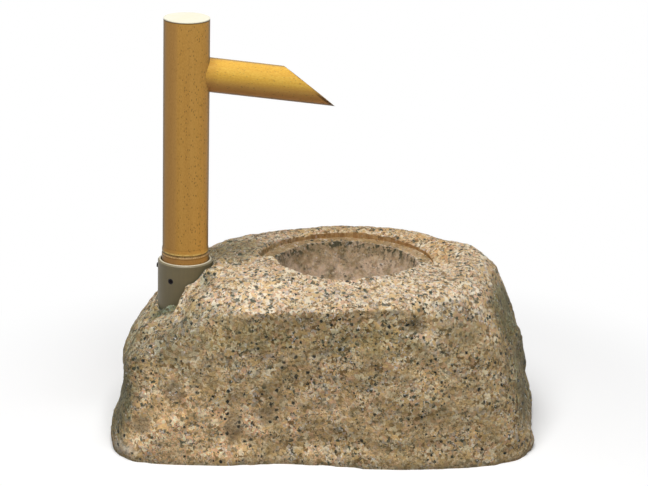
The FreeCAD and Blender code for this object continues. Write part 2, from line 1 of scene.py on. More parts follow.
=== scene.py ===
"""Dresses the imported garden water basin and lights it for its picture.

The basin is a granite boulder with a turned bowl, a bamboo post that stands in a plastic socket, and
a slanted bamboo spout. Everything is in metres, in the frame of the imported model, apart from the
tables of patches, strokes and lip points, which are in millimetres.
"""

import json
import logging
import math
from collections.abc import Iterator
from contextlib import contextmanager
from dataclasses import dataclass, field
from enum import Enum
from functools import reduce

import bpy
import numpy as np
from mathutils import Matrix, Vector


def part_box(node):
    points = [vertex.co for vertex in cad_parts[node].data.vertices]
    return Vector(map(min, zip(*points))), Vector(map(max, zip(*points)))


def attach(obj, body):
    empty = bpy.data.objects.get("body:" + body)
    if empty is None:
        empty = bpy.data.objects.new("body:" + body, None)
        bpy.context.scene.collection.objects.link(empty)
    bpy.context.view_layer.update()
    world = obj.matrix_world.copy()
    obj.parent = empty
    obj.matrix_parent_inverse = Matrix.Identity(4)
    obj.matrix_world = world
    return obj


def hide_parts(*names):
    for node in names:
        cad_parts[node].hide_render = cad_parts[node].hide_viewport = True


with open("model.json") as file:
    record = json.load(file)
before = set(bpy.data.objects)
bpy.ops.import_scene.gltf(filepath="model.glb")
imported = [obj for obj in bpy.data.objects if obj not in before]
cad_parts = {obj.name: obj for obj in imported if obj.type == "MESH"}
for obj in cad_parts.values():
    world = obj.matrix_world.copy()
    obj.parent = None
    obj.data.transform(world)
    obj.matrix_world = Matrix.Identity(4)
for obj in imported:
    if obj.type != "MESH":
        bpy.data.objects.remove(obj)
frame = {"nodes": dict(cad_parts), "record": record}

Colour = tuple[float, float, float]
Point = tuple[float, float, float]
Limits = tuple[float, float]
SoftLimits = tuple[float, float, float, float]
Outline = list[tuple[float, float]]
Stops = tuple[tuple[float, Colour], ...]
UP = Vector((0.0, 0.0, 1.0))
BACKWARDS = Vector((0.0, 1.0, 0.0))
IN_PLACE = Matrix.Identity(4)
STANDING_BODY = "basin"
SMOOTH_UP_TO = math.radians(40.0)
GIVES_NUMBER = ("LENGTH", "DISTANCE", "DOT_PRODUCT")
MM = 0.001
log = logging.getLogger("basin")


def deselect() -> None:
    """Leaves nothing selected."""
    if bpy.context.object and bpy.context.object.mode != "OBJECT":
        bpy.ops.object.mode_set(mode="OBJECT")
    bpy.ops.object.select_all(action="DESELECT")


def pick(thing: bpy.types.Object) -> None:
    """Selects one object alone and makes it the active one.

    Args:
        thing: The object to work on.
    """
    deselect()
    thing.select_set(True)
    bpy.context.view_layer.objects.active = thing


@contextmanager
def editing(thing: bpy.types.Object, whole: bool = True) -> Iterator[None]:
    """Opens a mesh for editing, and closes it again.

    Args:
        thing: The mesh.
        whole: Whether all of it is selected first.

    Yields:
        Nothing, while the mesh is open.
    """
    pick(thing)
    bpy.ops.object.mode_set(mode="EDIT")
    if whole:
        bpy.ops.mesh.select_all(action="SELECT")
    yield
    bpy.ops.object.mode_set(mode="OBJECT")


def add_object(name: str, data: bpy.types.ID | None) -> bpy.types.Object:
    """Puts a new object into the scene.

    Args:
        name: Its name.
        data: What it shows, if anything.

    Returns:
        The object.
    """
    thing = bpy.data.objects.new(name, data)
    bpy.context.collection.objects.link(thing)
    return thing


def modify(thing: bpy.types.Object, kind: str, **settings: object) -> None:
    """Adds one modifier and applies it.

    Args:
        thing: The object to change.
        kind: The modifier's type.
        settings: The modifier's own settings.
    """
    pick(thing)
    modifier = thing.modifiers.new(kind.title(), kind)
    for name, value in settings.items():
        setattr(modifier, name, value)
    bpy.ops.object.modifier_apply(modifier=modifier.name)


def remove(thing: bpy.types.Object) -> None:
    """Deletes an object that has served its purpose."""
    bpy.data.objects.remove(thing, do_unlink=True)


def cut(thing: bpy.types.Object, tool: bpy.types.Object, operation: str = "DIFFERENCE") -> None:
    """Cuts a closed mesh with another, which is then deleted."""
    modify(thing, "BOOLEAN", object=tool, operation=operation, solver="MANIFOLD")
    remove(tool)


def settle(thing: bpy.types.Object, place: Matrix) -> bpy.types.Object:
    """Puts an object in its place and writes that place into its mesh.

    Args:
        thing: The object, modelled round the origin.
        place: Where it goes.

    Returns:
        The same object.
    """
    thing.matrix_world = place
    pick(thing)
    bpy.ops.object.transform_apply(location=True, rotation=True, scale=True)
    return thing


def axis_place(start: Vector, heading: Vector) -> Matrix:
    """Finds the matrix that takes the upright axis to a line."""
    return Matrix.Translation(start) @ heading.to_track_quat("Z", "Y").to_matrix().to_4x4()


def lathe(name: str, outline: Outline, steps: int = 96) -> bpy.types.Object:
    """Spins an outline round the upright axis.

    Args:
        name: The new object's name.
        outline: Its corners as radius and height, from one end to the other.
        steps: How many faces go round.

    Returns:
        The new mesh object.
    """
    deselect()
    bpy.ops.mesh.primitive_plane_add(size=0.01)
    thing = bpy.context.object
    thing.name = name
    with editing(thing):
        bpy.ops.mesh.merge(type="CENTER")
        bpy.ops.transform.translate(value=(outline[0][0], 0.0, outline[0][1]))
        for (radius, height), (next_radius, next_height) in zip(outline, outline[1:]):
            step = (next_radius - radius, 0.0, next_height - height)
            bpy.ops.mesh.extrude_region_move(TRANSFORM_OT_translate={"value": step})
        bpy.ops.mesh.select_all(action="SELECT")
        bpy.ops.mesh.spin(steps=steps, angle=math.tau, center=(0, 0, 0), axis=(0, 0, 1))
        bpy.ops.mesh.select_all(action="SELECT")
        bpy.ops.mesh.remove_doubles(threshold=1e-6)
        bpy.ops.mesh.normals_make_consistent(inside=False)
    return thing


def rod(name: str, radius: float, low: float, high: float, place: Matrix, steps: int) -> bpy.types.Object:
    """Makes a round bar.

    Args:
        name: The new object's name.
        radius: Its radius.
        low: Where it starts along its axis.
        high: Where it ends.
        place: Where its axis lies.
        steps: How many faces go round.

    Returns:
        The new mesh object.
    """
    return settle(lathe(name, [(0.0, low), (radius, low), (radius, high), (0.0, high)], steps), place)


def loft(name: str, sections: list[list[Point]]) -> bpy.types.Object:
    """Draws a closed body through sections that stand one behind the other.

    Args:
        name: The new object's name.
        sections: The corners of each section, the same number in each.

    Returns:
        The new mesh object.
    """
    deselect()
    bpy.ops.mesh.primitive_circle_add(vertices=len(sections[0]), fill_type="NGON")
    thing = bpy.context.object
    thing.name = name
    for vertex, corner in zip(thing.data.vertices, sections[0]):
        vertex.co = corner
    for before, after in zip(sections, sections[1:]):
        step = Vector(after[0]) - Vector(before[0])
        with editing(thing, before is sections[0]):
            bpy.ops.mesh.extrude_region_move(TRANSFORM_OT_translate={"value": step})
        for vertex in thing.data.vertices:
            if vertex.select:
                place = vertex.co - step
                number = min(range(len(before)), key=lambda at: (Vector(before[at]) - place).length)
                vertex.co = after[number]
    with editing(thing):
        bpy.ops.mesh.normals_make_consistent(inside=False)
        bpy.ops.mesh.subdivide(number_cuts=5)
    return thing


def copy_node(node: str, name: str) -> bpy.types.Object:
    """Makes a free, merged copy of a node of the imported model.

    Args:
        node: The node's name.
        name: The copy's name.

    Returns:
        The copy, which rides on nothing yet.
    """
    thing = add_object(name, frame["nodes"][node].data.copy())
    thing.data.materials.clear()
    with editing(thing):
        bpy.ops.mesh.remove_doubles(threshold=1e-5)
        bpy.ops.mesh.customdata_custom_splitnormals_clear()
    return thing


def vertex_places(thing: bpy.types.Object) -> np.ndarray:
    """Reads where the vertices of a mesh are.

    Args:
        thing: The mesh.

    Returns:
        One row for each vertex.
    """
    places = np.empty(len(thing.data.vertices) * 3)
    thing.data.vertices.foreach_get("co", places)
    return places.reshape(-1, 3)


class Form(Enum):
    """What the features of an uneven surface look like."""

    CLOUDS = "CLOUDS"
    FACETS = "VORONOI"


@dataclass(frozen=True)
class Relief:
    """An uneven surface: the form, size and height of its features, and how many finer layers it has."""

    form: Form
    size: float
    height: float
    layers: int = 0
    middle: float = 0.5

    def press(
        self,
        thing: bpy.types.Object,
        mask: str = "",
        direction: str = "NORMAL",
        stretch: Point = (1, 1, 1),
    ) -> None:
        """Moves the surface of a mesh in and out.

        Args:
            thing: The mesh.
            mask: The vertex group that the relief works through, if any.
            direction: Which way the surface moves.
            stretch: How far the features are stretched each way.
        """
        texture = bpy.data.textures.new("relief", self.form.value)
        texture.noise_scale = self.size
        if self.layers:
            texture.noise_depth = self.layers
        helper = add_object("stretch", None)
        helper.matrix_world = Matrix.Diagonal((*stretch, 1.0))
        bpy.context.view_layer.update()
        modify(
            thing,
            "DISPLACE",
            texture=texture,
            strength=self.height,
            mid_level=self.middle,
            vertex_group=mask,
            texture_coords="OBJECT",
            texture_coords_object=helper,
            direction=direction,
        )
        remove(helper)


class Lay(Enum):
    """How a coat of colour changes what is below: it covers that, or tints it."""

    COVER = "MIX"
    TINT = "MULTIPLY"


@dataclass(frozen=True)
class Coat:
    """One coat of colour: where it lies, how strongly, its colour and its way."""

    mask: object
    share: float
    colour: object
    way: Lay = Lay.COVER


class Graph:
    """A node tree that is filled in code."""

    def __init__(self, tree: bpy.types.NodeTree) -> None:
        """Takes a tree in hand."""
        self.tree = tree

    def feed(self, socket: bpy.types.NodeSocket, value: object) -> None:
        """Links a socket to another, or sets its value.

        Args:
            socket: The input.
            value: The socket that feeds it, a colour or a number.
        """
        if isinstance(value, bpy.types.NodeSocket):
            self.tree.links.new(value, socket)
        elif socket.type == "RGBA" and len(value) == 3:
            socket.default_value = (*value, 1.0)
        else:
            socket.default_value = value

    def give(self, node: bpy.types.Node, **values: object) -> None:
        """Feeds inputs of a node.

        Args:
            node: The node.
            values: What goes into its inputs, by name with _ for a space.
        """
        for label, value in values.items():
            self.feed(node.inputs[label.replace("_", " ")], value)

    def add(self, kind: str, inputs: dict | None = None, **settings: object) -> bpy.types.Node:
        """Adds a node.

        Args:
            kind: The node's type.
            inputs: What goes into its sockets, by name or number.
            settings: Its own settings.

        Returns:
            The node.
        """
        node = self.tree.nodes.new(kind)
        for name, value in settings.items():
            setattr(node, name, value)
        for name, value in (inputs or {}).items():
            self.feed(node.inputs[name], value)
        return node

    def math(self, operation: str, first: object, second: object = 0.0) -> object:
        """Works out one number from two."""
        return self.add("ShaderNodeMath", {0: first, 1: second}, operation=operation).outputs[0]

    def times(self, *factors: object) -> object:
        """Multiplies numbers."""
        return reduce(lambda product, factor: self.math("MULTIPLY", product, factor), factors)

    def plus(self, *terms: object) -> object:
        """Adds numbers up."""
        return reduce(lambda total, term: self.math("ADD", total, term), terms)

    def rest(self, mask: object, share: float = 1.0) -> object:
        """Gives what a share of a mask leaves of 1."""
        return self.math("SUBTRACT", 1.0, self.times(mask, share))

    def vector(self, operation: str, first: object, second: object = (0.0, 0.0, 0.0)) -> object:
        """Works out a vector from two, or a number where that is what the operation gives."""
        node = self.add("ShaderNodeVectorMath", {0: first, 1: second}, operation=operation)
        return node.outputs["Value" if operation in GIVES_NUMBER else "Vector"]

    def band(self, value: object, low: float, high: float, into: Limits = (0.0, 1.0)) -> object:
        """Turns a range of values into a soft mask, which runs from one value into another."""
        inputs = {"Value": value, "From Min": low, "From Max": high, "To Min": into[0], "To Max": into[1]}
        return self.add("ShaderNodeMapRange", inputs, interpolation_type="SMOOTHSTEP").outputs[0]

    def between(self, value: object, limits: SoftLimits) -> object:
        """Marks the values between two soft limits, each given by where it starts and ends."""
        return self.times(self.band(value, *limits[:2]), self.band(value, *limits[:1:-1]))

    def mix(self, share: object, first: object, second: object, way: Lay = Lay.COVER) -> object:
        """Mixes two colours.

        Args:
            share: How much of the second there is.
            first: The first colour or socket.
            second: The second one.
            way: How the second changes the first.

        Returns:
            The socket with the colour.
        """
        node = self.add("ShaderNodeMix", data_type="RGBA", blend_type=way.value)
        for number, value in ((0, share), (6, first), (7, second)):
            self.feed(node.inputs[number], value)
        return node.outputs[2]

    def paint(self, tone: object, *coats: Coat) -> object:
        """Lays coats of colour over a tone.

        Args:
            tone: The colour below.
            coats: The coats, from the lowest to the top one.

        Returns:
            The socket with the colour.
        """
        for coat in coats:
            tone = self.mix(self.times(coat.mask, coat.share), tone, coat.colour, coat.way)
        return tone

    def noise(self, place: object, scale: object, detail: float = 3.0, roughness: float = 0.5) -> object:
        """Makes cloudy noise, about 0.5 in the middle, with this many features to the metre."""
        inputs = {"Vector": place, "Scale": scale, "Detail": detail, "Roughness": roughness}
        return self.add("ShaderNodeTexNoise", inputs).outputs["Fac"]

    def cells(self, place: object, scale: object) -> bpy.types.Node:
        """Makes cells with one random colour each, this many to the metre."""
        return self.add("ShaderNodeTexVoronoi", {"Vector": place, "Scale": scale})

    def ramp(self, value: object, stops: Stops, steps: bool = False) -> object:
        """Turns a value into a colour.

        Args:
            value: The value, from 0 to 1.
            stops: The colour at each place, from low to high.
            steps: Whether the colours change in steps.

        Returns:
            The socket with the colour.
        """
        node = self.add("ShaderNodeValToRGB", {"Fac": value})
        ramp = node.color_ramp
        ramp.interpolation = "CONSTANT" if steps else "LINEAR"
        while len(ramp.elements) < len(stops):
            ramp.elements.new(1.0)
        for element, (position, colour) in zip(ramp.elements, stops):
            element.position = position
            element.color = (*colour, 1.0)
        return node.outputs["Color"]

    def stretch(
        self, place: object, scale: Point, turn: Point = (0, 0, 0), shift: Point = (0, 0, 0)
    ) -> object:
        """Makes coordinates finer each way, turns them and shifts them."""
        inputs = {"Vector": place, "Location": shift, "Rotation": turn, "Scale": scale}
        return self.add("ShaderNodeMapping", inputs).outputs[0]

    def split(self, vector: object) -> tuple[object, ...]:
        """Takes a vector apart."""
        return tuple(self.add("ShaderNodeSeparateXYZ", {"Vector": vector}).outputs)

    def from_axis(self, place: object) -> object:
        """Measures how far a point is from the upright axis."""
        return self.vector("LENGTH", self.stretch(place, (1, 1, 0)))

    def wobble(self, place: object, scale: float, reach: float) -> object:
        """Shifts coordinates a little, at random but evenly.

        Args:
            place: The coordinates.
            scale: Shifts to the metre.
            reach: The greatest shift.

        Returns:
            The socket with the shifted coordinates.
        """
        noise = self.add("ShaderNodeTexNoise", {"Vector": place, "Scale": scale, "Detail": 2.0})
        shift = self.vector("SUBTRACT", noise.outputs["Color"], (0.5, 0.5, 0.5))
        return self.vector("ADD", place, self.vector("MULTIPLY", shift, (reach * 2,) * 3))

    def place(self) -> object:
        """Gives the coordinates of the object, in metres."""
        return self.add("ShaderNodeTexCoord").outputs["Object"]

    def normal(self) -> object:
        """Gives the direction that a surface faces."""
        return self.add("ShaderNodeTexCoord").outputs["Normal"]

    def use(self, group: bpy.types.NodeTree, inputs: dict) -> tuple[object, ...]:
        """Places a group and gives its outputs."""
        return tuple(self.add("ShaderNodeGroup", inputs, node_tree=group).outputs)

    def bump(self, height: object, strength: float, distance: float) -> object:
        """Turns a height into a normal, with a relief of this strength and depth."""
        inputs = {"Height": height, "Strength": strength, "Distance": distance}
        return self.add("ShaderNodeBump", inputs).outputs["Normal"]


def new_group(
    name: str, inputs: dict[str, float], outputs: tuple[str, ...]
) -> tuple[Graph, tuple[object, ...], bpy.types.Node]:
    """Starts a shader node group with coordinates and numbers as inputs, and masks as outputs.

    Args:
        name: The group's name.
        inputs: The first value of each input that is a number.
        outputs: The outputs' names.

    Returns:
        The group's graph, the sockets of its inputs and its output node.
    """
    tree = bpy.data.node_groups.new(name, "ShaderNodeTree")
    tree.interface.new_socket("Place", in_out="INPUT", socket_type="NodeSocketVector")
    for label, value in inputs.items():
        socket = tree.interface.new_socket(label, in_out="INPUT", socket_type="NodeSocketFloat")
        socket.default_value = value
    for label in outputs:
        tree.interface.new_socket(label, in_out="OUTPUT", socket_type="NodeSocketFloat")
    graph = Graph(tree)
    sockets = tuple(graph.add("NodeGroupInput").outputs)[: len(inputs) + 1]
    return graph, sockets, graph.add("NodeGroupOutput")


@dataclass(frozen=True)
class Effects:
    """The effects that several finishes share, as node groups."""

    specks: bpy.types.NodeTree
    fibre: bpy.types.NodeTree
    grime: bpy.types.NodeTree

    @classmethod
    def build(cls) -> "Effects":
        """Builds every group once."""
        return cls(cls._specks(), cls._fibre(), cls._grime())

    @staticmethod
    def _specks() -> bpy.types.NodeTree:
        """Builds dark specks of uneven size and shape, in loose clusters.

        Returns:
            The group, which puts out a mask of their cores and one of the darker stone round them.
        """
        numbers = {"Scale": 130.0, "Size": 0.24, "Crowding": 0.6}
        graph, inputs, outside = new_group("specks", numbers, ("Core", "Halo"))
        place, scale, size, crowding = inputs
        dots = graph.cells(graph.wobble(place, 520.0, 0.0022), scale)
        small, choice, faint = graph.split(dots.outputs["Color"])
        clusters = graph.band(graph.noise(place, 34.0, 4.0, 0.6), 0.38, 0.62, (0.25, 1.0))
        found = graph.math("LESS_THAN", choice, graph.times(crowding, clusters))
        reach = graph.times(graph.band(small, 0.0, 1.0, (0.45, 1.0)), size)
        edge = graph.math("SUBTRACT", reach, dots.outputs["Distance"])
        deep = graph.times(graph.band(edge, -0.02, 0.04), graph.band(faint, 0.0, 1.0, (0.70, 1.0)))
        halo = graph.times(found, graph.band(edge, -0.10, 0.01))
        graph.give(outside, Core=graph.times(found, deep), Halo=halo)
        return graph.tree

    @staticmethod
    def _fibre() -> bpy.types.NodeTree:
        """Builds the long fibres and short flecks of bamboo, along its upright axis.

        Returns:
            The group, which puts out a streak value, a fleck mask and a height.
        """
        outputs = ("Streak", "Fleck", "Height")
        graph, inputs, outside = new_group("fibre", {"Fineness": 420.0, "Flecks": 0.4}, outputs)
        place, fineness, flecks = inputs
        long = graph.stretch(place, (1, 1, 0.03))
        fine = graph.noise(long, fineness, 3.0, 0.6)
        broad = graph.noise(long, graph.times(fineness, 0.22), 2.0)
        speckle = graph.noise(graph.stretch(place, (1, 1, 0.5)), graph.times(fineness, 1.6), 2.0)
        short = graph.wobble(graph.stretch(place, (1, 1, 0.45)), 200.0, 0.001)
        cells = graph.cells(short, graph.times(fineness, 1.1))
        chosen = graph.math("LESS_THAN", graph.split(cells.outputs["Color"])[0], flecks)
        spot = graph.times(graph.band(cells.outputs["Distance"], 0.34, 0.18), chosen)
        graph.give(
            outside,
            Streak=graph.plus(graph.times(fine, 0.22), graph.times(broad, 0.28), graph.times(speckle, 0.5)),
            Fleck=spot,
            Height=graph.math("SUBTRACT", fine, graph.times(spot, 0.3)),
        )
        return graph.tree

    @staticmethod
    def _grime() -> bpy.types.NodeTree:
        """Builds uneven dirt and wear.

        Returns:
            The group, which puts out a mask and a fine height.
        """
        numbers = {"Scale": 60.0, "Amount": 0.5}
        graph, (place, scale, amount), outside = new_group("grime", numbers, ("Mask", "Height"))
        cover = graph.plus(graph.noise(place, scale, 5.0, 0.62), amount, -0.5)
        fine = graph.noise(place, graph.times(scale, 18.0), 2.0)
        graph.give(outside, Mask=graph.band(cover, 0.38, 0.68), Height=fine)
        return graph.tree


def new_material(name: str, **constants: object) -> tuple[bpy.types.Material, Graph, bpy.types.Node]:
    """Starts a material on one Principled shader.

    Args:
        name: The material's name.
        constants: Values that are the same all over, by socket name with _ for a space.

    Returns:
        The material, its graph and its shader node.
    """
    material = bpy.data.materials.new(name)
    material.use_nodes = True
    graph = Graph(material.node_tree)
    shader = material.node_tree.nodes["Principled BSDF"]
    graph.give(shader, **constants)
    return material, graph, shader


@dataclass(frozen=True)
class Patch:
    """A ragged patch of the stone: its middle and its reach each way, in millimetres, and its strength."""

    middle: Point
    reach: Point
    strength: float

    def mask(self, graph: Graph, place: object) -> object:
        """Finds how much of the patch lies at each point.

        Args:
            graph: The material's graph.
            place: The coordinates.

        Returns:
            The socket with the share.
        """
        finer = tuple(1 / (reach * MM) for reach in self.reach)
        shift = tuple(-middle / reach for middle, reach in zip(self.middle, self.reach))
        away = graph.vector("LENGTH", graph.stretch(place, finer, shift=shift))
        ragged = graph.plus(away, graph.noise(place, 60.0, 4.0, 0.65))
        return graph.times(graph.band(ragged, 1.65, 1.05), self.strength)


@dataclass(frozen=True)
class StainAndPaintedLight(Patch):
    """A patch that tints or covers the grains: a stain of the stone's own colour, painted shade or painted
    light.
    """

    colour: Colour
    way: Lay = Lay.TINT


# Colours that several patches share. Values over 1 make the stone lighter. The dark green darkens the
# stone's sides, partly as their colour and partly as painted shade.
MOSS_AND_SHADE = (0.095, 0.100, 0.058)
# The sunny tint is painted sunlight.
SUNNY = (1.55, 1.50, 1.54)
SMUDGE = (0.21, 0.155, 0.085)

# The patches of the stone, from the lowest to the top one: stains of its own colour, and painted shade and
# painted light where marked.
STAINS_AND_PAINTED_LIGHT = (
    # Painted shade under the lip at the left.
    StainAndPaintedLight((-250, -140, 150), (52, 62, 36), 0.75, (0.54, 0.55, 0.48)),
    StainAndPaintedLight((-170, -164, 192), (46, 24, 14), 0.85, (0.66, 0.68, 0.62)),
    # Painted shade over the left ridge, which dims faces that the lamp lights brightly.
    StainAndPaintedLight((-212, -172, 158), (42, 50, 40), 0.95, (0.66, 0.69, 0.69)),
    StainAndPaintedLight((-282, -150, 70), (22, 50, 50), 0.90, (0.72, 0.76, 0.76)),
    StainAndPaintedLight((-60, -178, 192), (32, 30, 18), 0.90, (0.80, 0.80, 0.78)),
    StainAndPaintedLight((140, -160, 182), (46, 40, 34), 0.95, (0.74, 0.76, 0.76)),
    StainAndPaintedLight((108, -178, 128), (34, 30, 22), 0.90, (1.34, 1.32, 1.28)),
    StainAndPaintedLight((36, -186, 161), (36, 30, 16), 0.90, (1.20, 1.20, 1.20)),
    StainAndPaintedLight((-257, -180, 102), (24, 50, 20), 0.90, (1.32, 1.30, 1.32)),
    StainAndPaintedLight((-130, -192, 71), (30, 30, 18), 0.90, (1.22, 1.22, 1.24)),
    StainAndPaintedLight((165, -150, 74), (22, 40, 50), 0.90, (0.76, 0.78, 0.80)),
    StainAndPaintedLight((-24, -192, 48), (30, 30, 16), 0.90, (0.76, 0.76, 0.74)),
    StainAndPaintedLight((67, -188, 48), (40, 30, 18), 0.90, (1.20, 1.18, 1.14)),
    StainAndPaintedLight((-98, -120, 207), (44, 34, 14), 0.90, (1.20, 1.21, 1.22)),
    StainAndPaintedLight((-180, -76, 203), (14, 32, 18), 0.80, (0.62, 0.68, 0.64)),
    StainAndPaintedLight((-264, -66, 168), (30, 40, 30), 0.85, (0.56, 0.58, 0.46)),
    # Painted shade over the left ridge.
    StainAndPaintedLight((-212, -166, 172), (30, 22, 16), 0.80, (0.76, 0.78, 0.70)),
    StainAndPaintedLight((120, -168, 160), (62, 30, 34), 0.80, (0.90, 0.92, 0.93)),
    StainAndPaintedLight((100, -120, 206), (80, 45, 20), 0.70, (1.09, 1.10, 1.13)),
    # Painted shade over the upper end of the left ridge.
    StainAndPaintedLight((-206, -135, 188), (34, 34, 16), 0.85, (0.74, 0.77, 0.70)),
    # The left side is darkened, partly as its green colour and partly as painted shade.
    StainAndPaintedLight((-294, -140, 90), (30, 50, 90), 0.34, MOSS_AND_SHADE, Lay.COVER),
    StainAndPaintedLight((-300, -10, 48), (34, 90, 45), 0.30, MOSS_AND_SHADE, Lay.COVER),
    StainAndPaintedLight((-294, -70, 85), (40, 170, 115), 0.95, (0.58, 0.63, 0.57)),
    StainAndPaintedLight((-160, 20, 220), (55, 75, 22), 0.92, (0.52, 0.54, 0.44)),
    StainAndPaintedLight((-241, -81, 164), (46, 24, 22), 0.90, (0.22, 0.34, 0.32)),
    StainAndPaintedLight((-125, -186, 168), (70, 20, 26), 0.80, (0.74, 0.76, 0.68)),
    StainAndPaintedLight((20, -188, 168), (80, 20, 28), 0.80, (0.74, 0.76, 0.68)),
    # Painted shade in the hollow under the lip.
    StainAndPaintedLight((90, -178, 184), (16, 20, 12), 0.50, (0.07, 0.06, 0.035), Lay.COVER),
    # The right side is darkened the same way: partly green colour, partly painted shade.
    StainAndPaintedLight((252, -60, 100), (36, 90, 100), 0.24, MOSS_AND_SHADE, Lay.COVER),
    StainAndPaintedLight((245, -20, 100), (58, 170, 110), 0.95, (0.55, 0.60, 0.54)),
    StainAndPaintedLight((20, 150, 218), (250, 60, 40), 1.0, (0.90, 0.84, 0.72)),
    StainAndPaintedLight((210, -60, 172), (36, 70, 44), 1.0, (0.50, 0.56, 0.50)),
    StainAndPaintedLight((10, 150, 214), (120, 30, 20), 0.18, SMUDGE, Lay.COVER),
    StainAndPaintedLight((126, 45, 214), (22, 50, 14), 0.8, (0.92, 0.78, 0.56)),
    StainAndPaintedLight((92, 92, 214), (34, 18, 14), 0.7, (0.92, 0.78, 0.56)),
    StainAndPaintedLight((-85, 10, 190), (30, 60, 30), 0.80, (0.60, 0.66, 0.58)),
    StainAndPaintedLight((-218, -200, 95), (15, 20, 13), 0.66, SMUDGE, Lay.COVER),
    StainAndPaintedLight((-260, -196, 48), (15, 20, 14), 0.66, SMUDGE, Lay.COVER),
    StainAndPaintedLight((-141, -200, 50), (14, 20, 26), 0.66, SMUDGE, Lay.COVER),
    StainAndPaintedLight((-100, -193, 63), (12, 20, 13), 0.60, SMUDGE, Lay.COVER),
    # Painted sunlight on the lower front, at the left and in the middle.
    StainAndPaintedLight((-200, -200, 45), (110, 30, 58), 1.0, SUNNY),
    StainAndPaintedLight((-30, -192, 60), (80, 30, 60), 0.35, SUNNY),
    # Painted light: the brightest spot of the top slope.
    StainAndPaintedLight((-125, -155, 203), (70, 50, 16), 0.6, (1.15, 1.16, 1.2)),
    # Painted highlight on the upward facet at the lower-left corner.
    StainAndPaintedLight((-275, -165, 12), (22, 40, 12), 0.60, (0.95, 0.90, 0.80), Lay.COVER),
)

# Places where dark crystals crowd.
CROWDS = (
    Patch((-258, -150, 132), (32, 60, 44), 1.0),
    Patch((-290, -150, 70), (22, 60, 60), 1.0),
    Patch((-178, -160, 186), (40, 30, 20), 0.8),
    Patch((-180, -76, 203), (14, 32, 18), 1.0),
    Patch((222, -70, 150), (30, 70, 60), 1.0),
    Patch((-10, -186, 155), (60, 20, 34), 0.7),
    Patch((125, -180, 130), (60, 20, 36), 0.7),
)


class StoneGraph(Graph):
    """A graph that holds where a point of the stone lies, and the masks that several coats use."""

    def __init__(self, tree: bpy.types.NodeTree, stone: "Granite") -> None:
        """Measures what the coats are made from.

        Args:
            tree: The material's tree.
            stone: The finish, with its sizes.
        """
        super().__init__(tree)
        bowl, ledge, wall = stone.bowl_radius, stone.ledge_height, stone.ledge_radius
        self.spot = self.place()
        self.across, self.deep, self.height = self.split(self.spot)
        self.from_bowl = self.from_axis(self.spot)
        self.along = self.stretch(self.spot, (1.0, 0.66, 1.0))
        ragged = self.wobble(self.along, 240.0, 0.0026)
        cells = (self.cells(ragged, scale) for scale in stone.grain_scales)
        self.grain, self.fine = (self.split(cell.outputs["Color"]) for cell in cells)
        self.crowded = self.band(self.noise(self.spot, 34.0, 4.0, 0.6), 0.42, 0.60)
        self.clouds = self.noise(self.spot, 24.0, 5.0, 0.6)
        up = self.split(self.normal())[2]
        self.steep = self.band(up, 0.70, 0.42)
        self.bowl = self.times(
            self.band(self.from_bowl, bowl + 0.001, bowl - 0.001),
            self.band(self.height, ledge + 0.012, ledge + 0.006),
        )
        self.wall = self.times(
            self.between(self.from_bowl, (wall - 0.002, wall - 0.001, wall + 0.004, wall + 0.008)),
            self.band(self.height, ledge - 0.0002, ledge + 0.0004),
            self.band(up, 0.62, 0.45),
        )


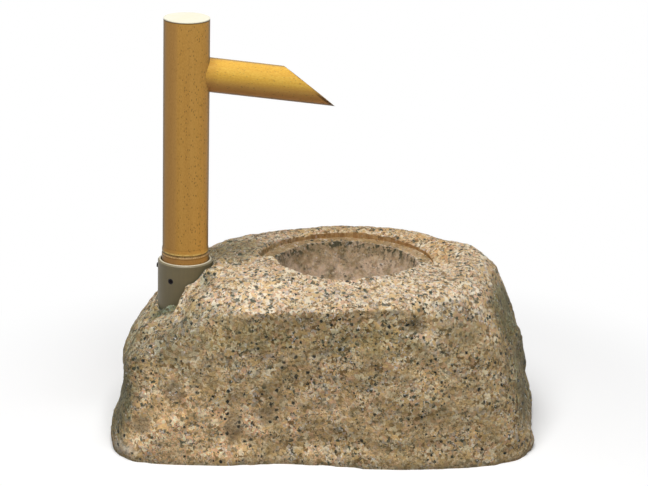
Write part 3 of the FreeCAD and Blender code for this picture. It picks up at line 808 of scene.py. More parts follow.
@dataclass(frozen=True)
class Granite:
    """Rough granite with a mouth of turned, smoother stone and a rusty ledge wall."""

    bowl_radius: float = 0.0975
    ledge_height: float = 0.2078
    ledge_radius: float = 0.1135
    grain_scales: tuple[float, float] = (262.0, 520.0)
    small_specks: tuple[float, float] = (250.0, 0.27)
    big_specks: tuple[float, float] = (128.0, 0.30)
    black: Colour = (0.010, 0.013, 0.011)
    foot_green: Colour = (0.085, 0.10, 0.065)
    crystals: Stops = (
        (0.00, (0.80, 0.58, 0.32)),
        (0.25, (0.96, 0.87, 0.71)),
        (0.48, (0.74, 0.49, 0.34)),
        (0.64, (0.63, 0.555, 0.53)),
        (0.70, (0.42, 0.38, 0.31)),
        (0.78, (0.26, 0.165, 0.075)),
        (0.92, (0.075, 0.095, 0.075)),
    )

    def build(self, effects: Effects) -> bpy.types.Material:
        """Builds the material.

        Args:
            effects: The shared effects.

        Returns:
            The material.
        """
        material, _, shader = new_material("granite_hewn", Roughness=0.66, Specular_IOR_Level=0.25)
        graph = StoneGraph(material.node_tree, self)
        tone = self._grains(graph)
        # Lays the patches: the stone's own stains, and painted shade and painted light where the table marks
        # them.
        for stain in STAINS_AND_PAINTED_LIGHT:
            tone = graph.mix(stain.mask(graph, graph.spot), tone, stain.colour, stain.way)
        tone = self._specks(graph, effects, self._mouth(graph, tone))
        graph.give(shader, Base_Color=tone, Normal=self._relief(graph))
        return material

    def _grains(self, graph: StoneGraph) -> object:
        """Colours the crystals, calmer in places and duller on the steep faces.

        Args:
            graph: The material's graph.

        Returns:
            The socket with the colour.
        """
        place, steep = graph.spot, graph.steep
        coarse, small = (graph.ramp(dice[0], self.crystals, True) for dice in (graph.grain, graph.fine))
        finer = graph.band(graph.noise(place, 80.0, 3.0, 0.6), 0.46, 0.60, (0.06, 0.80))
        calm = graph.times(graph.rest(graph.crowded), graph.band(steep, 0.0, 1.0, (0.06, 0.42)))
        plain = graph.mix(graph.noise(place, 130.0, 4.0, 0.7), (0.40, 0.29, 0.145), (0.86, 0.66, 0.41))
        whole = graph.mix(steep, (0.95, 0.92, 0.875), (0.99, 0.92, 0.78))
        blots = graph.band(graph.noise(graph.along, 58.0, 3.0, 0.6), 0.36, 0.60)
        weather = graph.band(graph.clouds, 0.36, 0.68)
        return graph.paint(
            graph.mix(finer, coarse, small),
            Coat(calm, 1.0, plain),
            Coat(1.0, 1.0, whole, Lay.TINT),
            Coat(blots, graph.band(steep, 0.0, 1.0, (0.3, 0.8)), (0.74, 0.75, 0.68), Lay.TINT),
            Coat(weather, 0.6, (0.86, 0.84, 0.76), Lay.TINT),
        )

    def _mouth(self, graph: StoneGraph, tone: object) -> object:
        """Colours the bowl, the dark spots under its mouth, the ledge and its rusty wall, and darkens the
        stone towards its foot.

        Args:
            graph: The material's graph.
            tone: The colour so far.

        Returns:
            The socket with the colour.
        """
        place, deep, height, from_bowl = graph.spot, graph.deep, graph.height, graph.from_bowl
        bowl, ledge, wall = self.bowl_radius, self.ledge_height, self.ledge_radius
        mottle = graph.band(graph.noise(place, 75.0, 5.0, 0.65), 0.36, 0.62)
        shaded = graph.times(graph.band(deep, 0.030, 0.085), graph.band(height, 0.180, 0.198))
        smooth = graph.mix(mottle, (0.22, 0.165, 0.105), (0.64, 0.49, 0.385))
        smooth = graph.paint(smooth, Coat(shaded, 0.85, (0.60, 0.58, 0.46), Lay.TINT))
        uneven_height = graph.plus(height, graph.times(graph.noise(place, 110.0, 4.0), 0.020))
        under_mouth = graph.times(graph.band(uneven_height, 0.204, 0.215), graph.bowl)
        notched = graph.noise(graph.stretch(place, (1, 1, 0.7)), 185.0, 3.0)
        on_ledge = graph.times(
            graph.between(height, (ledge - 0.0030, ledge - 0.0012, ledge + 0.0012, ledge + 0.0030)),
            graph.between(from_bowl, (bowl + 0.001, bowl + 0.003, wall, wall + 0.002)),
            graph.band(deep, 0.012, 0.022),
        )
        streaks = graph.noise(graph.stretch(place, (1, 1, 0.12)), 220.0, 2.0)
        rust = graph.mix(graph.band(streaks, 0.4, 0.62), (0.33, 0.165, 0.055), (0.50, 0.30, 0.12))
        frayed_radius = graph.plus(from_bowl, graph.times(graph.noise(place, 150.0, 3.0), 0.026))
        frayed = graph.times(
            graph.band(frayed_radius, wall + 0.021, wall + 0.015),
            graph.band(graph.across, 0.050, 0.075),
            graph.band(deep, 0.000, 0.020),
            graph.band(height, ledge, ledge + 0.002),
        )
        # The stone turns darker and greener towards its foot.
        darker_foot = graph.band(graph.plus(height, graph.times(graph.clouds, 0.02)), 0.022, 0.006)
        return graph.paint(
            tone,
            Coat(graph.bowl, 0.66, smooth),
            Coat(under_mouth, graph.band(notched, 0.50, 0.56, (0.12, 0.95)), (0.060, 0.058, 0.032)),
            Coat(on_ledge, 0.66, (0.34, 0.215, 0.085)),
            Coat(graph.wall, graph.band(graph.across, -0.108, -0.050, (0.20, 0.78)), rust),
            Coat(frayed, 0.6, (0.34, 0.17, 0.055)),
            Coat(darker_foot, 0.4, self.foot_green),
        )

    def _specks(self, graph: StoneGraph, effects: Effects, tone: object) -> object:
        """Lays dark crystals in two sizes and a few painted glints over the stone.

        Args:
            graph: The material's graph.
            effects: The shared effects.
            tone: The colour so far.

        Returns:
            The socket with the colour.
        """
        masks = (crowd.mask(graph, graph.spot) for crowd in CROWDS)
        dense = reduce(lambda most, mask: graph.math("MAXIMUM", most, mask), masks)
        many = graph.plus(graph.band(graph.steep, 0.0, 1.0, (0.75, 0.62)), graph.times(dense, 1.1))
        fewer = graph.times(graph.rest(graph.bowl, 0.45), graph.rest(graph.wall, 0.6))
        for (scale, size), round_them in (
            (self.small_specks, (0.20, 0.175, 0.105)),
            (self.big_specks, (0.115, 0.120, 0.080)),
        ):
            inputs = {"Place": graph.along, "Scale": scale, "Size": size, "Crowding": many}
            core, halo = graph.use(effects.specks, inputs)
            halo = graph.times(halo, 0.66)
            tone = graph.paint(tone, Coat(halo, fewer, round_them), Coat(core, fewer, self.black))
        # Painted glints: white dots that stand in for light sparkling off crystals.
        glint = graph.times(graph.math("GREATER_THAN", graph.fine[2], 0.965), graph.crowded, fewer)
        return graph.paint(tone, Coat(glint, 0.6, (0.90, 0.88, 0.86)))

    @staticmethod
    def _relief(graph: StoneGraph) -> object:
        """Gives the stone pits and standing grains, flatter in the bowl.

        Args:
            graph: The material's graph.

        Returns:
            The socket with the normal.
        """
        rough = graph.plus(
            graph.noise(graph.spot, 330.0, 4.0, 0.7),
            graph.times(graph.grain[2], 0.45),
            graph.times(graph.noise(graph.spot, 95.0, 2.0), 1.1),
        )
        return graph.bump(graph.times(rough, graph.rest(graph.bowl, 0.6)), 0.9, 0.0028)


@dataclass(frozen=True)
class Mortar:
    """Sandy mortar, darker at the front and in uneven patches."""

    light: Colour = (0.25, 0.22, 0.16)
    dark: Colour = (0.045, 0.070, 0.062)
    grains: Stops = (
        (0.0, (0.42, 0.42, 0.36)),
        (0.3, (1.0, 1.0, 1.0)),
        (0.6, (1.7, 1.6, 1.45)),
        (0.84, (3.0, 2.6, 2.1)),
    )

    def build(self, effects: Effects) -> bpy.types.Material:
        """Builds the material.

        Args:
            effects: The shared effects.

        Returns:
            The material.
        """
        material, graph, shader = new_material("mortar_sandy", Roughness=0.85)
        place = graph.place()
        mask, _ = graph.use(effects.grime, {"Place": place, "Scale": 90.0, "Amount": 0.5})
        dice = graph.split(graph.cells(graph.wobble(place, 240.0, 0.0026), 380.0).outputs["Color"])
        # The mortar is darker towards the front.
        front = graph.band(graph.split(place)[1], -0.046, -0.056)
        darkened = graph.math("MAXIMUM", front, graph.times(mask, 0.6))
        tone = graph.mix(darkened, self.light, self.dark)
        tone = graph.mix(0.9, tone, graph.ramp(dice[0], self.grains, True), Lay.TINT)
        graph.give(shader, Base_Color=tone, Normal=graph.bump(dice[1], 0.6, 0.001))
        return material


@dataclass(frozen=True)
class Bamboo:
    """Satin bamboo skin with fibres along it, flecks, pale cut ends, and painted shade along its outline."""

    name: str
    start: Vector
    heading: Vector
    reach: float
    skins: Stops

    def build(self, effects: Effects) -> bpy.types.Material:
        """Builds the material.

        Args:
            effects: The shared effects.

        Returns:
            The material.
        """
        material, graph, shader = new_material(self.name, Specular_IOR_Level=0.15)
        turn = axis_place(self.start, self.heading).inverted()
        place = graph.stretch(graph.place(), (1, 1, 1), tuple(turn.to_euler()), tuple(turn.translation))
        inputs = {"Place": place, "Fineness": 420.0, "Flecks": 0.50}
        streak, fleck, height = graph.use(effects.fibre, inputs)
        tone = graph.ramp(graph.band(streak, 0.32, 0.66), self.skins)
        tone = graph.paint(tone, *self._coats(graph, fleck, graph.split(place)[2]))
        facing = graph.math("ABSOLUTE", graph.vector("DOT_PRODUCT", graph.normal(), self.heading))
        sawn = graph.mix(graph.band(streak, 0.4, 0.6), (0.30, 0.17, 0.06), (0.52, 0.34, 0.14))
        # Painted shade: the skin darkens where it turns side-on to the view, along the outline.
        rim = graph.band(graph.add("ShaderNodeLayerWeight", {"Blend": 0.5}).outputs["Facing"], 0.55, 0.78)
        tone = graph.paint(
            tone,
            Coat(graph.band(facing, 0.30, 0.45), 1.0, sawn),
            Coat(rim, 0.72, (0.15, 0.105, 0.040)),
        )
        rough = graph.band(streak, 0.3, 0.7, (0.36, 0.50))
        graph.give(shader, Base_Color=tone, Roughness=rough, Normal=graph.bump(height, 0.2, 0.0003))
        return material

    def _coats(self, graph: Graph, fleck: object, along: object) -> tuple[Coat, ...]:
        """Lists the coats over the bare skin, which each kind of bamboo gives itself."""
        raise NotImplementedError(self.name)


@dataclass(frozen=True)
class PostBamboo(Bamboo):
    """The standing bamboo: painted shade at its left and painted light at its right, with a raised joint and
    two grooves at its foot.

    Painted shade dims the joint's upper slope, a painted highlight runs along the top of the joint's ridge,
    the skin below is darker and the lower groove is a dark line. These bands are given by the heights where
    they start, are full, fade and end.
    """

    dimmed_joint_slope: SoftLimits = (0.2365, 0.2380, 0.2405, 0.2430)
    ridge_highlight: SoftLimits = (0.2345, 0.2350, 0.2360, 0.2366)
    lower_groove: SoftLimits = (0.2285, 0.2292, 0.2298, 0.2305)

    def _coats(self, graph: Graph, fleck: object, along: object) -> tuple[Coat, ...]:
        """Lists the coats over the bare skin.

        Args:
            graph: The material's graph.
            fleck: The fleck mask.
            along: The distance along the axis.

        Returns:
            The coats, from the lowest to the top one.
        """
        place, middle = graph.place(), self.start.x
        across, _, height = graph.split(place)
        sunless = graph.band(across, middle - 0.008, middle - 0.014)
        lit = graph.band(across, middle + 0.008, middle + 0.024)
        flecks = graph.times(fleck, graph.band(across, middle - 0.016, middle - 0.002, (0.25, 1.0)))
        broken = graph.band(graph.noise(place, 140.0, 2.0), 0.38, 0.52, (0.3, 1.0))
        below = graph.band(height, self.ridge_highlight[0], self.ridge_highlight[0] - 0.002)
        top = graph.band(height, self.reach - 0.0016, self.reach - 0.0008)
        return (
            Coat(sunless, 0.36, (0.42, 0.22, 0.09)),
            Coat(lit, 0.8, (1.24, 1.25, 1.22), Lay.TINT),
            Coat(flecks, 0.75, (0.24, 0.11, 0.030)),
            # Painted shade over the joint's upper slope, and a painted highlight along its ridge.
            Coat(graph.between(height, self.dimmed_joint_slope), 0.8, (0.80, 0.78, 0.72), Lay.TINT),
            Coat(graph.between(height, self.ridge_highlight), broken, (0.92, 0.68, 0.22)),
            Coat(below, 0.5, (0.36, 0.17, 0.06)),
            Coat(graph.between(height, self.lower_groove), 0.5, (0.16, 0.085, 0.03)),
            Coat(top, 0.8, (0.10, 0.055, 0.02)),
        )


@dataclass(frozen=True)
class SpoutBamboo(Bamboo):
    """The slanted bamboo: redder below, with painted shade at its root where it meets the post and along the
    edge where it is cut at a slant.
    """

    radius: float
    slant: float = math.radians(30.0)

    def _coats(self, graph: Graph, fleck: object, along: object) -> tuple[Coat, ...]:
        """Lists the coats over the bare skin.

        Args:
            graph: The material's graph.
            fleck: The fleck mask.
            along: The distance along the axis.

        Returns:
            The coats, from the lowest to the top one.
        """
        under = graph.band(graph.split(graph.normal())[2], 0.25, -0.8)
        below = (self.heading * self.heading.z - UP).normalized()
        outward = self.heading * math.sin(self.slant) - below * math.cos(self.slant)
        tip = (self.heading * self.reach + below * self.radius).dot(outward)
        from_start = graph.vector("SUBTRACT", graph.place(), self.start)
        depth, low = (graph.vector("DOT_PRODUCT", from_start, way) for way in (outward, below))
        edge = graph.times(
            graph.band(depth, tip - 0.0036, tip - 0.0022),
            graph.band(low, self.radius * 0.05, self.radius * 0.45),
        )
        return (
            Coat(under, 0.6, (0.84, 0.41, 0.19)),
            Coat(fleck, 0.55, (0.34, 0.16, 0.045)),
            # Painted shade at the root, where the spout meets the post.
            Coat(graph.band(along, 0.038, 0.029), 0.25, (0.42, 0.17, 0.05)),
            # Painted shade along the slanted cut, standing in for the shaded cut face of the wall.
            Coat(edge, 0.8, (0.145, 0.075, 0.034)),
        )


@dataclass(frozen=True)
class SocketPlastic:
    """Dull grey pipe plastic, streaked, stained at its foot, with a painted highlight on its rim and painted
    shade in a disc round the front screw's hole.
    """

    rim: float
    foot: float
    hole: Vector
    grey: Colour = (0.190, 0.152, 0.078)
    pale: Colour = (0.60, 0.55, 0.40)
    stain: Colour = (0.04, 0.065, 0.055)

    def build(self, effects: Effects) -> bpy.types.Material:
        """Builds the material.

        Args:
            effects: The shared effects.

        Returns:
            The material.
        """
        material, graph, shader = new_material("socket_plastic_worn", Roughness=0.5)
        place = graph.place()
        height = graph.split(place)[2]
        streaks = graph.noise(graph.stretch(place, (1, 1, 0.06)), 330.0, 3.0)
        mask, _ = graph.use(effects.grime, {"Place": place, "Scale": 70.0, "Amount": 0.45})
        from_hole = graph.vector("DISTANCE", place, self.hole)
        tone = graph.mix(graph.band(streaks, 0.3, 0.7), graph.mix(0.08, self.grey, self.stain), self.grey)
        tone = graph.paint(
            tone,
            Coat(graph.band(height, self.foot + 0.006, self.foot - 0.004), 0.75, self.stain),
            Coat(mask, 0.25, (0.12, 0.10, 0.06)),
            # Painted highlight on the rim's top edge.
            Coat(graph.band(height, self.rim - 0.0007, self.rim - 0.0003), 1.0, self.pale),
            # Painted shade: a dark disc round the front screw's hole.
            Coat(graph.band(from_hole, 0.0050, 0.0043), 1.0, (0.012, 0.009, 0.010)),
        )
        graph.give(shader, Base_Color=tone, Normal=graph.bump(streaks, 0.06, 0.0005))
        return material


@dataclass(frozen=True)
class Matter:
    """A solid with uneven tone: plastic, rubber or sawn wood."""

    name: str
    main: Colour
    other: Colour
    dull: float = 0.6
    scale: float = 80.0
    amount: float = 0.45
    relief: float = 0.2
    stretch: Point = (1.0, 1.0, 1.0)
    gloss: float = 0.5
    metallic: float = 0.0
    wear: float = 0.15

    def build(self, effects: Effects) -> bpy.types.Material:
        """Builds the material.

        Args:
            effects: The shared effects.

        Returns:
            The material.
        """
        constants = {"Specular_IOR_Level": self.gloss, "Metallic": self.metallic}
        material, graph, shader = new_material(self.name, **constants)
        place = graph.stretch(graph.place(), self.stretch)
        inputs = {"Place": place, "Scale": self.scale, "Amount": self.amount}
        mask, height = graph.use(effects.grime, inputs)
        graph.give(
            shader,
            Base_Color=graph.mix(mask, self.main, self.other),
            Roughness=graph.band(mask, 0.0, 1.0, (self.dull, self.dull + self.wear)),
            Normal=self._relief(graph, height),
        )
        return material

    def _relief(self, graph: Graph, height: object) -> object:
        """Gives the surface a fine grain."""
        return graph.bump(height, self.relief, 0.0005)


@dataclass(frozen=True)
class Metal(Matter):
    """A metal with fine scratches and a little tarnish."""

    scale: float = 140.0
    metallic: float = 1.0
    wear: float = 0.3

    def _relief(self, graph: Graph, height: object) -> object:
        """Gives the surface fine scratches, which run round it."""
        return graph.bump(graph.noise(graph.stretch(graph.place(), (1, 1, 14)), 160.0, 2.0), 0.08, 0.0003)


def dress(material: bpy.types.Material, *nodes: str) -> None:
    """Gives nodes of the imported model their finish.

    Args:
        material: What they are made of.
        nodes: Their names.
    """
    for node in nodes:
        thing = frame["nodes"][node]
        thing.data.materials.clear()
        thing.data.materials.append(material)
        log.info("%s: dressed in %s", node, material.name)


class Edge(Enum):
    """How a stroke of the chisel fades to either side."""

    ROUND = "SMOOTH"
    NARROW = "SHARP"


@dataclass(frozen=True)
class Stroke:
    """One stroke of the chisel: its line, its reach and how far it moves the face, in millimetres."""

    line: tuple[Point, ...]
    reach: float
    shift: Point
    edge: Edge = Edge.ROUND


# The strokes that shape the boulder, in the order in which they are made.
STROKES = (
    Stroke(((82, -182, 192), (98, -178, 182)), 16, (0, 7, -3)),
    Stroke(((128, -180, 148), (152, -172, 140)), 26, (1, -1.5, 0)),
    Stroke(((102, -188, 130), (112, -187, 118)), 14, (0, 5, 0), Edge.NARROW),
    Stroke(((-218, -200, 95),), 18, (0, 2.5, 0)),
    Stroke(((-260, -196, 48),), 18, (2, 2.5, 0)),
    Stroke(((-141, -200, 62), (-139, -200, 36)), 18, (0, 3, 0)),
    Stroke(((-100, -193, 63),), 18, (0, 2.5, 0)),
    Stroke(((180, -30, 197), (180, 60, 192)), 55, (2, 0, 6.5)),
    Stroke(((-264, -158, 122), (-256, -122, 132)), 46, (-5, -9, 15)),
    Stroke(((-262, -160, 142), (-236, -147, 172), (-205, -142, 190)), 34, (-1, 5, -7)),
    Stroke(((-252, -104, 150), (-236, -94, 158)), 36, (-2, -4, 10)),
    Stroke(((-240, -76, 160),), 28, (0, 0, 10.5)),
    Stroke(((-213, -94, 178),), 20, (0, 0, -7.5)),
    Stroke(((38, -100, 213.5), (78, -72, 213.5)), 34, (0, 0, 5)),
    Stroke(((-229, -140, 176), (-226, -118, 182)), 26, (6, 4, -6)),
    Stroke(((-206, -102, 199), (-197, -90, 204)), 26, (3, 3, -8)),
    Stroke(((-173, -62, 213), (-167, -35, 216)), 30, (0, 0, 6.5)),
    Stroke(((-259, -55, 168), (-250, -78, 160)), 30, (0, 0, -10)),
    Stroke(((-263, -20, 166), (-260, 30, 168)), 42, (3, 0, -5)),
    Stroke(((-20, 135, 214), (90, 135, 212)), 50, (0, 2, 3.5)),
    Stroke(((-262, -75, 152), (-276, -108, 130)), 30, (5.2, 0, -1)),
    Stroke(((-290, -125, 102), (-292, -80, 100)), 24, (-3.5, 0, 0)),
    Stroke(((-285, -120, 78), (-292, -50, 62)), 42, (7, 0, 0)),
    Stroke(((-303, -150, 32), (-303, -60, 32)), 40, (5, 0, 0)),
    Stroke(((232, -45, 132), (240, -25, 105), (246, -5, 80)), 38, (8, 0, 0)),
    Stroke(((252, -80, 75), (254, 0, 85)), 52, (-4, 0, 0)),
    Stroke(((250, -110, 40), (250, 30, 48)), 44, (-9, 0, 0)),
    Stroke(
        (
            (-270, -185, 4),
            (-150, -197, 2),
            (-40, -188, 2),
            (60, -200, 2),
            (160, -184, 2),
            (215, -155, 4),
        ),
        26,
        (0, -9, -3),
    ),
    Stroke(((-285, -160, 4), (-290, -120, 4)), 26, (-4, -3, -3)),
    Stroke(((215, -155, 4), (240, -110, 4)), 26, (8, -3, -3)),
)


@dataclass(frozen=True)
class LipPoint:
    """One place along the front lip: depth and height of the lip and the slope behind it, in millimetres."""

    across: float
    lip: tuple[float, float]
    slope: tuple[float, float]
    back: tuple[float, float]
    foot: float

    def _section(self, corners: list[tuple[float, float]]) -> list[Point]:
        """Gives corners of the section here, in metres."""
        return [(self.across * MM, deep * MM, height * MM) for deep, height in corners]

    def solid(self) -> list[Point]:
        """Gives the corners of the stone under the lip."""
        return self._section([self.lip, self.slope, self.back, (-125, 150), (self.foot, 120)])

    def air(self) -> list[Point]:
        """Gives the corners of the space above the slope, just clear of it and up to well over the stone.

        Returns:
            The corners, the foremost first.
        """
        clear, top = 0.4, 260.0
        out = tuple(lip + (lip - slope) / 2 for lip, slope in zip(self.lip, self.slope))
        floor = [(deep, height + clear) for deep, height in (out, self.slope, self.back)]
        return self._section([*floor, (self.back[0], top), (out[0], top)])


# The front lip, from left to right.
LIP = (
    LipPoint(-200, (-154, 180), (-138, 190), (-115, 197), -180),
    LipPoint(-165, (-177, 195), (-150, 203.5), (-105, 209), -188),
    LipPoint(-130, (-182, 198.5), (-150, 207.5), (-105, 213), -188),
    LipPoint(-98, (-183, 200.5), (-150, 209.5), (-105, 214.5), -186),
    LipPoint(-60, (-183, 201.5), (-150, 210.5), (-105, 215.5), -183),
    LipPoint(-21, (-185, 204.5), (-150, 211.5), (-105, 215.5), -186),
    LipPoint(16, (-187, 208), (-150, 213), (-105, 217), -190),
    LipPoint(55, (-184, 209.5), (-150, 213.8), (-105, 218), -192),
    LipPoint(78, (-177, 207), (-145, 212.5), (-105, 217.5), -188),
    LipPoint(98, (-165, 199), (-142, 210), (-105, 216), -181),
    LipPoint(128, (-145, 185), (-130, 205), (-105, 213), -168),
)


@dataclass
class Boulder:
    """The granite boulder with its bowl, its ledge and the holes for post, pipe and drain."""

    post: Vector
    socket_radius: float = 0.039
    sleeve_radius: float = 0.036
    socket_floor: float = 0.1022
    sump_radius: float = 0.030
    sump_floor: float = 0.0622
    supply_height: float = 0.0842
    supply_radius: float = 0.014
    supply_length: float = 0.27
    bowl_floor: float = 0.102
    bowl_floor_radius: float = 0.060
    bowl_radius: float = 0.095
    bowl_corner: float = 0.038
    ledge: float = 0.208
    ledge_radius: float = 0.115
    ledge_front: float = 0.010
    ledge_flare: float = 0.004
    mouth_rise: float = 0.008
    mouth_flare: Limits = (0.0007, 0.006)
    rim: float = 0.222
    over: float = 0.060
    drain_radius: float = 0.017
    recess_radius: float = 0.034
    recess_depth: float = 0.026
    recess_plug: Limits = (0.0015, 0.09)
    socket_plug_top: float = 0.145
    pipe_plug_end: float = 0.147
    margin: float = 0.001
    coarse: float = 0.0055
    fine: float = 0.0031
    swells: Relief = Relief(Form.CLOUDS, 0.07, 0.005, 2)
    facets: Relief = Relief(Form.FACETS, 0.030, 0.004, middle=0.45)
    lumps: Relief = Relief(Form.CLOUDS, 0.018, 0.0036, 3)
    grain: Relief = Relief(Form.CLOUDS, 0.005, 0.0016, 1)
    lip_height: Relief = Relief(Form.CLOUDS, 0.028, 0.007, 2)
    lip_depth: Relief = Relief(Form.CLOUDS, 0.028, 0.005, 2)
    chisel_marks: Relief = Relief(Form.CLOUDS, 0.010, 0.0035, 1)
    stone: bpy.types.Object = field(init=False)
    mortar: bpy.types.Object = field(init=False)

    def build(self) -> None:
        """Models the boulder and the mortar ring."""
        self.stone = self._blank()
        self._sculpt()
        self.mortar = self._mortar()
        self._carve()

    def _at_post(self) -> Matrix:
        """Gives the place of the post's upright axis."""
        return Matrix.Translation(Vector((self.post.x, self.post.y, 0.0)))

    def _along_pipe(self) -> Matrix:
        """Gives the place of the supply pipe's axis, which runs to the back."""
        return axis_place(Vector((self.post.x, self.post.y, self.supply_height)), BACKWARDS)

    def _blank(self) -> bpy.types.Object:
        """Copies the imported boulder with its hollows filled.

        Returns:
            The boulder as one even mesh.
        """
        rock = copy_node("stone_basin", "boulder")
        plugs = [copy_node("socket_grout", "plug")]
        margin, at_post = self.margin, self._at_post()
        above_ledge = self.ledge + 3 * margin
        for radius, low, high, place in (
            (self.bowl_radius - 2 * margin, self.bowl_floor - 30 * margin, above_ledge, IN_PLACE),
            (self.socket_radius - margin, self.sump_floor - 10 * margin, self.socket_plug_top, at_post),
            (self.supply_radius - margin / 2, 0.0, self.pipe_plug_end, self._along_pipe()),
            (self.recess_radius - margin / 2, *self.recess_plug, IN_PLACE),
        ):
            plugs.append(rod("plug", radius, low, high, place, 96))
        pick(rock)
        for plug in plugs:
            plug.select_set(True)
        bpy.ops.object.join()
        modify(rock, "REMESH", mode="VOXEL", voxel_size=self.coarse, use_smooth_shade=True)
        return rock

    def _sculpt(self) -> None:
        """Breaks the boulder's faces: broadly, by strokes, along its front edge, and then finely."""
        rock = self.stone
        self._spare_mouth()
        self.swells.press(rock, "spared")
        self.facets.press(rock, "spared")
        for stroke in STROKES:
            self._strike(stroke)
        self._edge()
        modify(rock, "REMESH", mode="VOXEL", voxel_size=self.fine, use_smooth_shade=True)
        self._spare_mouth()
        self.lumps.press(rock, "spared")
        self.grain.press(rock)
        self._keep_inside(*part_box("stone_basin"))

    def _spare_mouth(self, width: float = 0.045, below: float = 0.17, levels: int = 8) -> None:
        """Marks how freely the face may be broken: hardly at all beside the bowl.

        Args:
            width: How far from the ledge the face is free again.
            below: The height under which it is free everywhere.
            levels: How many steps the marks have.
        """
        places = vertex_places(self.stone)
        away = np.hypot(places[:, 0], places[:, 1]) - self.ledge_radius
        share = np.clip(away / width, 0.25, 1.0)
        share[places[:, 2] < below] = 1.0
        self.stone.vertex_groups.clear()
        group = self.stone.vertex_groups.new(name="spared")
        for level in range(levels + 1):
            chosen = np.nonzero(np.round(share * levels) == level)[0]
            group.add(chosen.tolist(), level / levels, "REPLACE")

    def _edge(self) -> None:
        """Gives the front a crisp upper edge, with an even slope behind it."""
        for sections, operation in (
            ([point.solid() for point in LIP], "UNION"),
            ([point.air() for point in LIP[2:-2]], "DIFFERENCE"),
        ):
            form = loft("lip_form", sections)
            self.lip_height.press(form, direction="Z")
            self.lip_depth.press(form, direction="Y")
            cut(self.stone, form, operation)

    def _strike(self, stroke: Stroke) -> None:
        """Moves the face along one line, less and less to either side of it.

        Args:
            stroke: Where and how it is moved.
        """
        mesh = self.stone.data
        places = vertex_places(self.stone)
        line = np.array(stroke.line) * MM
        nearest = np.linalg.norm(places - line[0], axis=1)
        for start, end in zip(line, line[1:]):
            run = end - start
            share = np.clip((places - start) @ run / (run @ run), 0.0, 1.0)
            nearest = np.minimum(nearest, np.linalg.norm(places - start - share[:, None] * run, axis=1))
        mesh.polygons.foreach_set("select", np.zeros(len(mesh.polygons), bool))
        mesh.edges.foreach_set("select", np.zeros(len(mesh.edges), bool))
        mesh.vertices.foreach_set("select", nearest < max(self.coarse, float(nearest.min()) + self.coarse))
        with editing(self.stone, whole=False):
            bpy.ops.transform.translate(
                value=Vector(stroke.shift) * MM,
                use_proportional_edit=True,
                proportional_edit_falloff=stroke.edge.value,
                proportional_size=stroke.reach * MM,
            )

    def _keep_inside(self, low: Vector, high: Vector, sole: float = 0.003) -> None:
        """Pushes back what stands out of the boulder's box, and flattens its underside.

        Args:
            low: The box's lowest corner.
            high: Its highest corner.
            sole: The height under which the stone lies flat on the ground.
        """
        places = np.clip(vertex_places(self.stone), np.array(low), np.array(high))
        places[places[:, 2] < sole, 2] = 0.0
        self.stone.data.vertices.foreach_set("co", places.ravel())
        self.stone.data.update()

    def _mortar(self) -> bpy.types.Object:
        """Fills the gap round the sleeve, flush with the boulder, before the hollows are cut.

        Returns:
            The mortar ring.
        """
        mortar = add_object("mortar_ring", self.stone.data.copy())
        inner, outer = self.sleeve_radius, self.socket_radius
        low, high = self.socket_floor, self.ledge + self.over
        ring = lathe("ring_form", [(inner, low), (outer, low), (outer, high), (inner, high), (inner, low)])
        cut(mortar, settle(ring, self._at_post()), "INTERSECT")
        return mortar

    def _bowl_outline(self, corner_steps: int = 12, rows: int = 14) -> Outline:
        """Draws half of the bowl's section: its floor, a round corner, a leaning wall and the mouth.

        Args:
            corner_steps: How many pieces the round corner has.
            rows: How many pieces the wall has.

        Returns:
            Its corners as radius and height.
        """
        lean = math.atan2(self.bowl_radius - self.bowl_floor_radius, self.ledge - self.bowl_floor)
        whole_turn = math.pi / 2 - lean
        start = self.bowl_floor_radius - self.bowl_corner * math.tan(whole_turn / 2)
        outline = [(0.0, self.bowl_floor)]
        for step in range(corner_steps + 1):
            turn = whole_turn * step / corner_steps
            height = self.bowl_floor + self.bowl_corner * (1 - math.cos(turn))
            outline.append((start + self.bowl_corner * math.sin(turn), height))
        radius, height = outline[-1]
        for share in (row / rows for row in range(1, rows + 1)):
            corner = (radius + (self.bowl_radius - radius) * share, height + (self.ledge - height) * share)
            outline.append(corner)
        top = self.rim + self.over
        narrow, wide = (self.bowl_radius + flare for flare in self.mouth_flare)
        return [*outline, (narrow, self.ledge + self.mouth_rise), (wide, top), (0.0, top)]

    def _carve(self) -> None:
        """Cuts the bowl, the ledge and the holes."""
        cut(self.stone, lathe("bowl_form", self._bowl_outline(), 144))
        cut(self.stone, self._ledge_form())
        margin, at_post = self.margin, self._at_post()
        for radius, low, high, place, steps in (
            (self.socket_radius, self.socket_floor, self.ledge + self.over, at_post, 96),
            (self.sump_radius, self.sump_floor, self.socket_floor + margin, at_post, 96),
            (self.supply_radius, 0.0, self.supply_length, self._along_pipe(), 48),
            (self.drain_radius, -margin, self.bowl_floor + 20 * margin, IN_PLACE, 64),
            (self.recess_radius, -margin, self.recess_depth, IN_PLACE, 64),
        ):
            cut(self.stone, rod("hole_form", radius, low, high, place, steps))

    def _ledge_form(self) -> bpy.types.Object:
        """Models the hollow above the ledge, with a wall that is chiselled upright.

        Returns:
            The cutting mesh.
        """
        top = self.rim + self.over
        flare = self.ledge_radius + self.ledge_flare
        outline = [(0, self.ledge), (self.ledge_radius, self.ledge), (flare, top), (0, top)]
        form = lathe("ledge_form", outline, 180)
        with editing(form):
            front = (0, -self.ledge_front, 0)
            bpy.ops.mesh.bisect(plane_co=front, plane_no=BACKWARDS, use_fill=True, clear_inner=True)
        self.chisel_marks.press(form, stretch=(1, 1, 60))
        return form

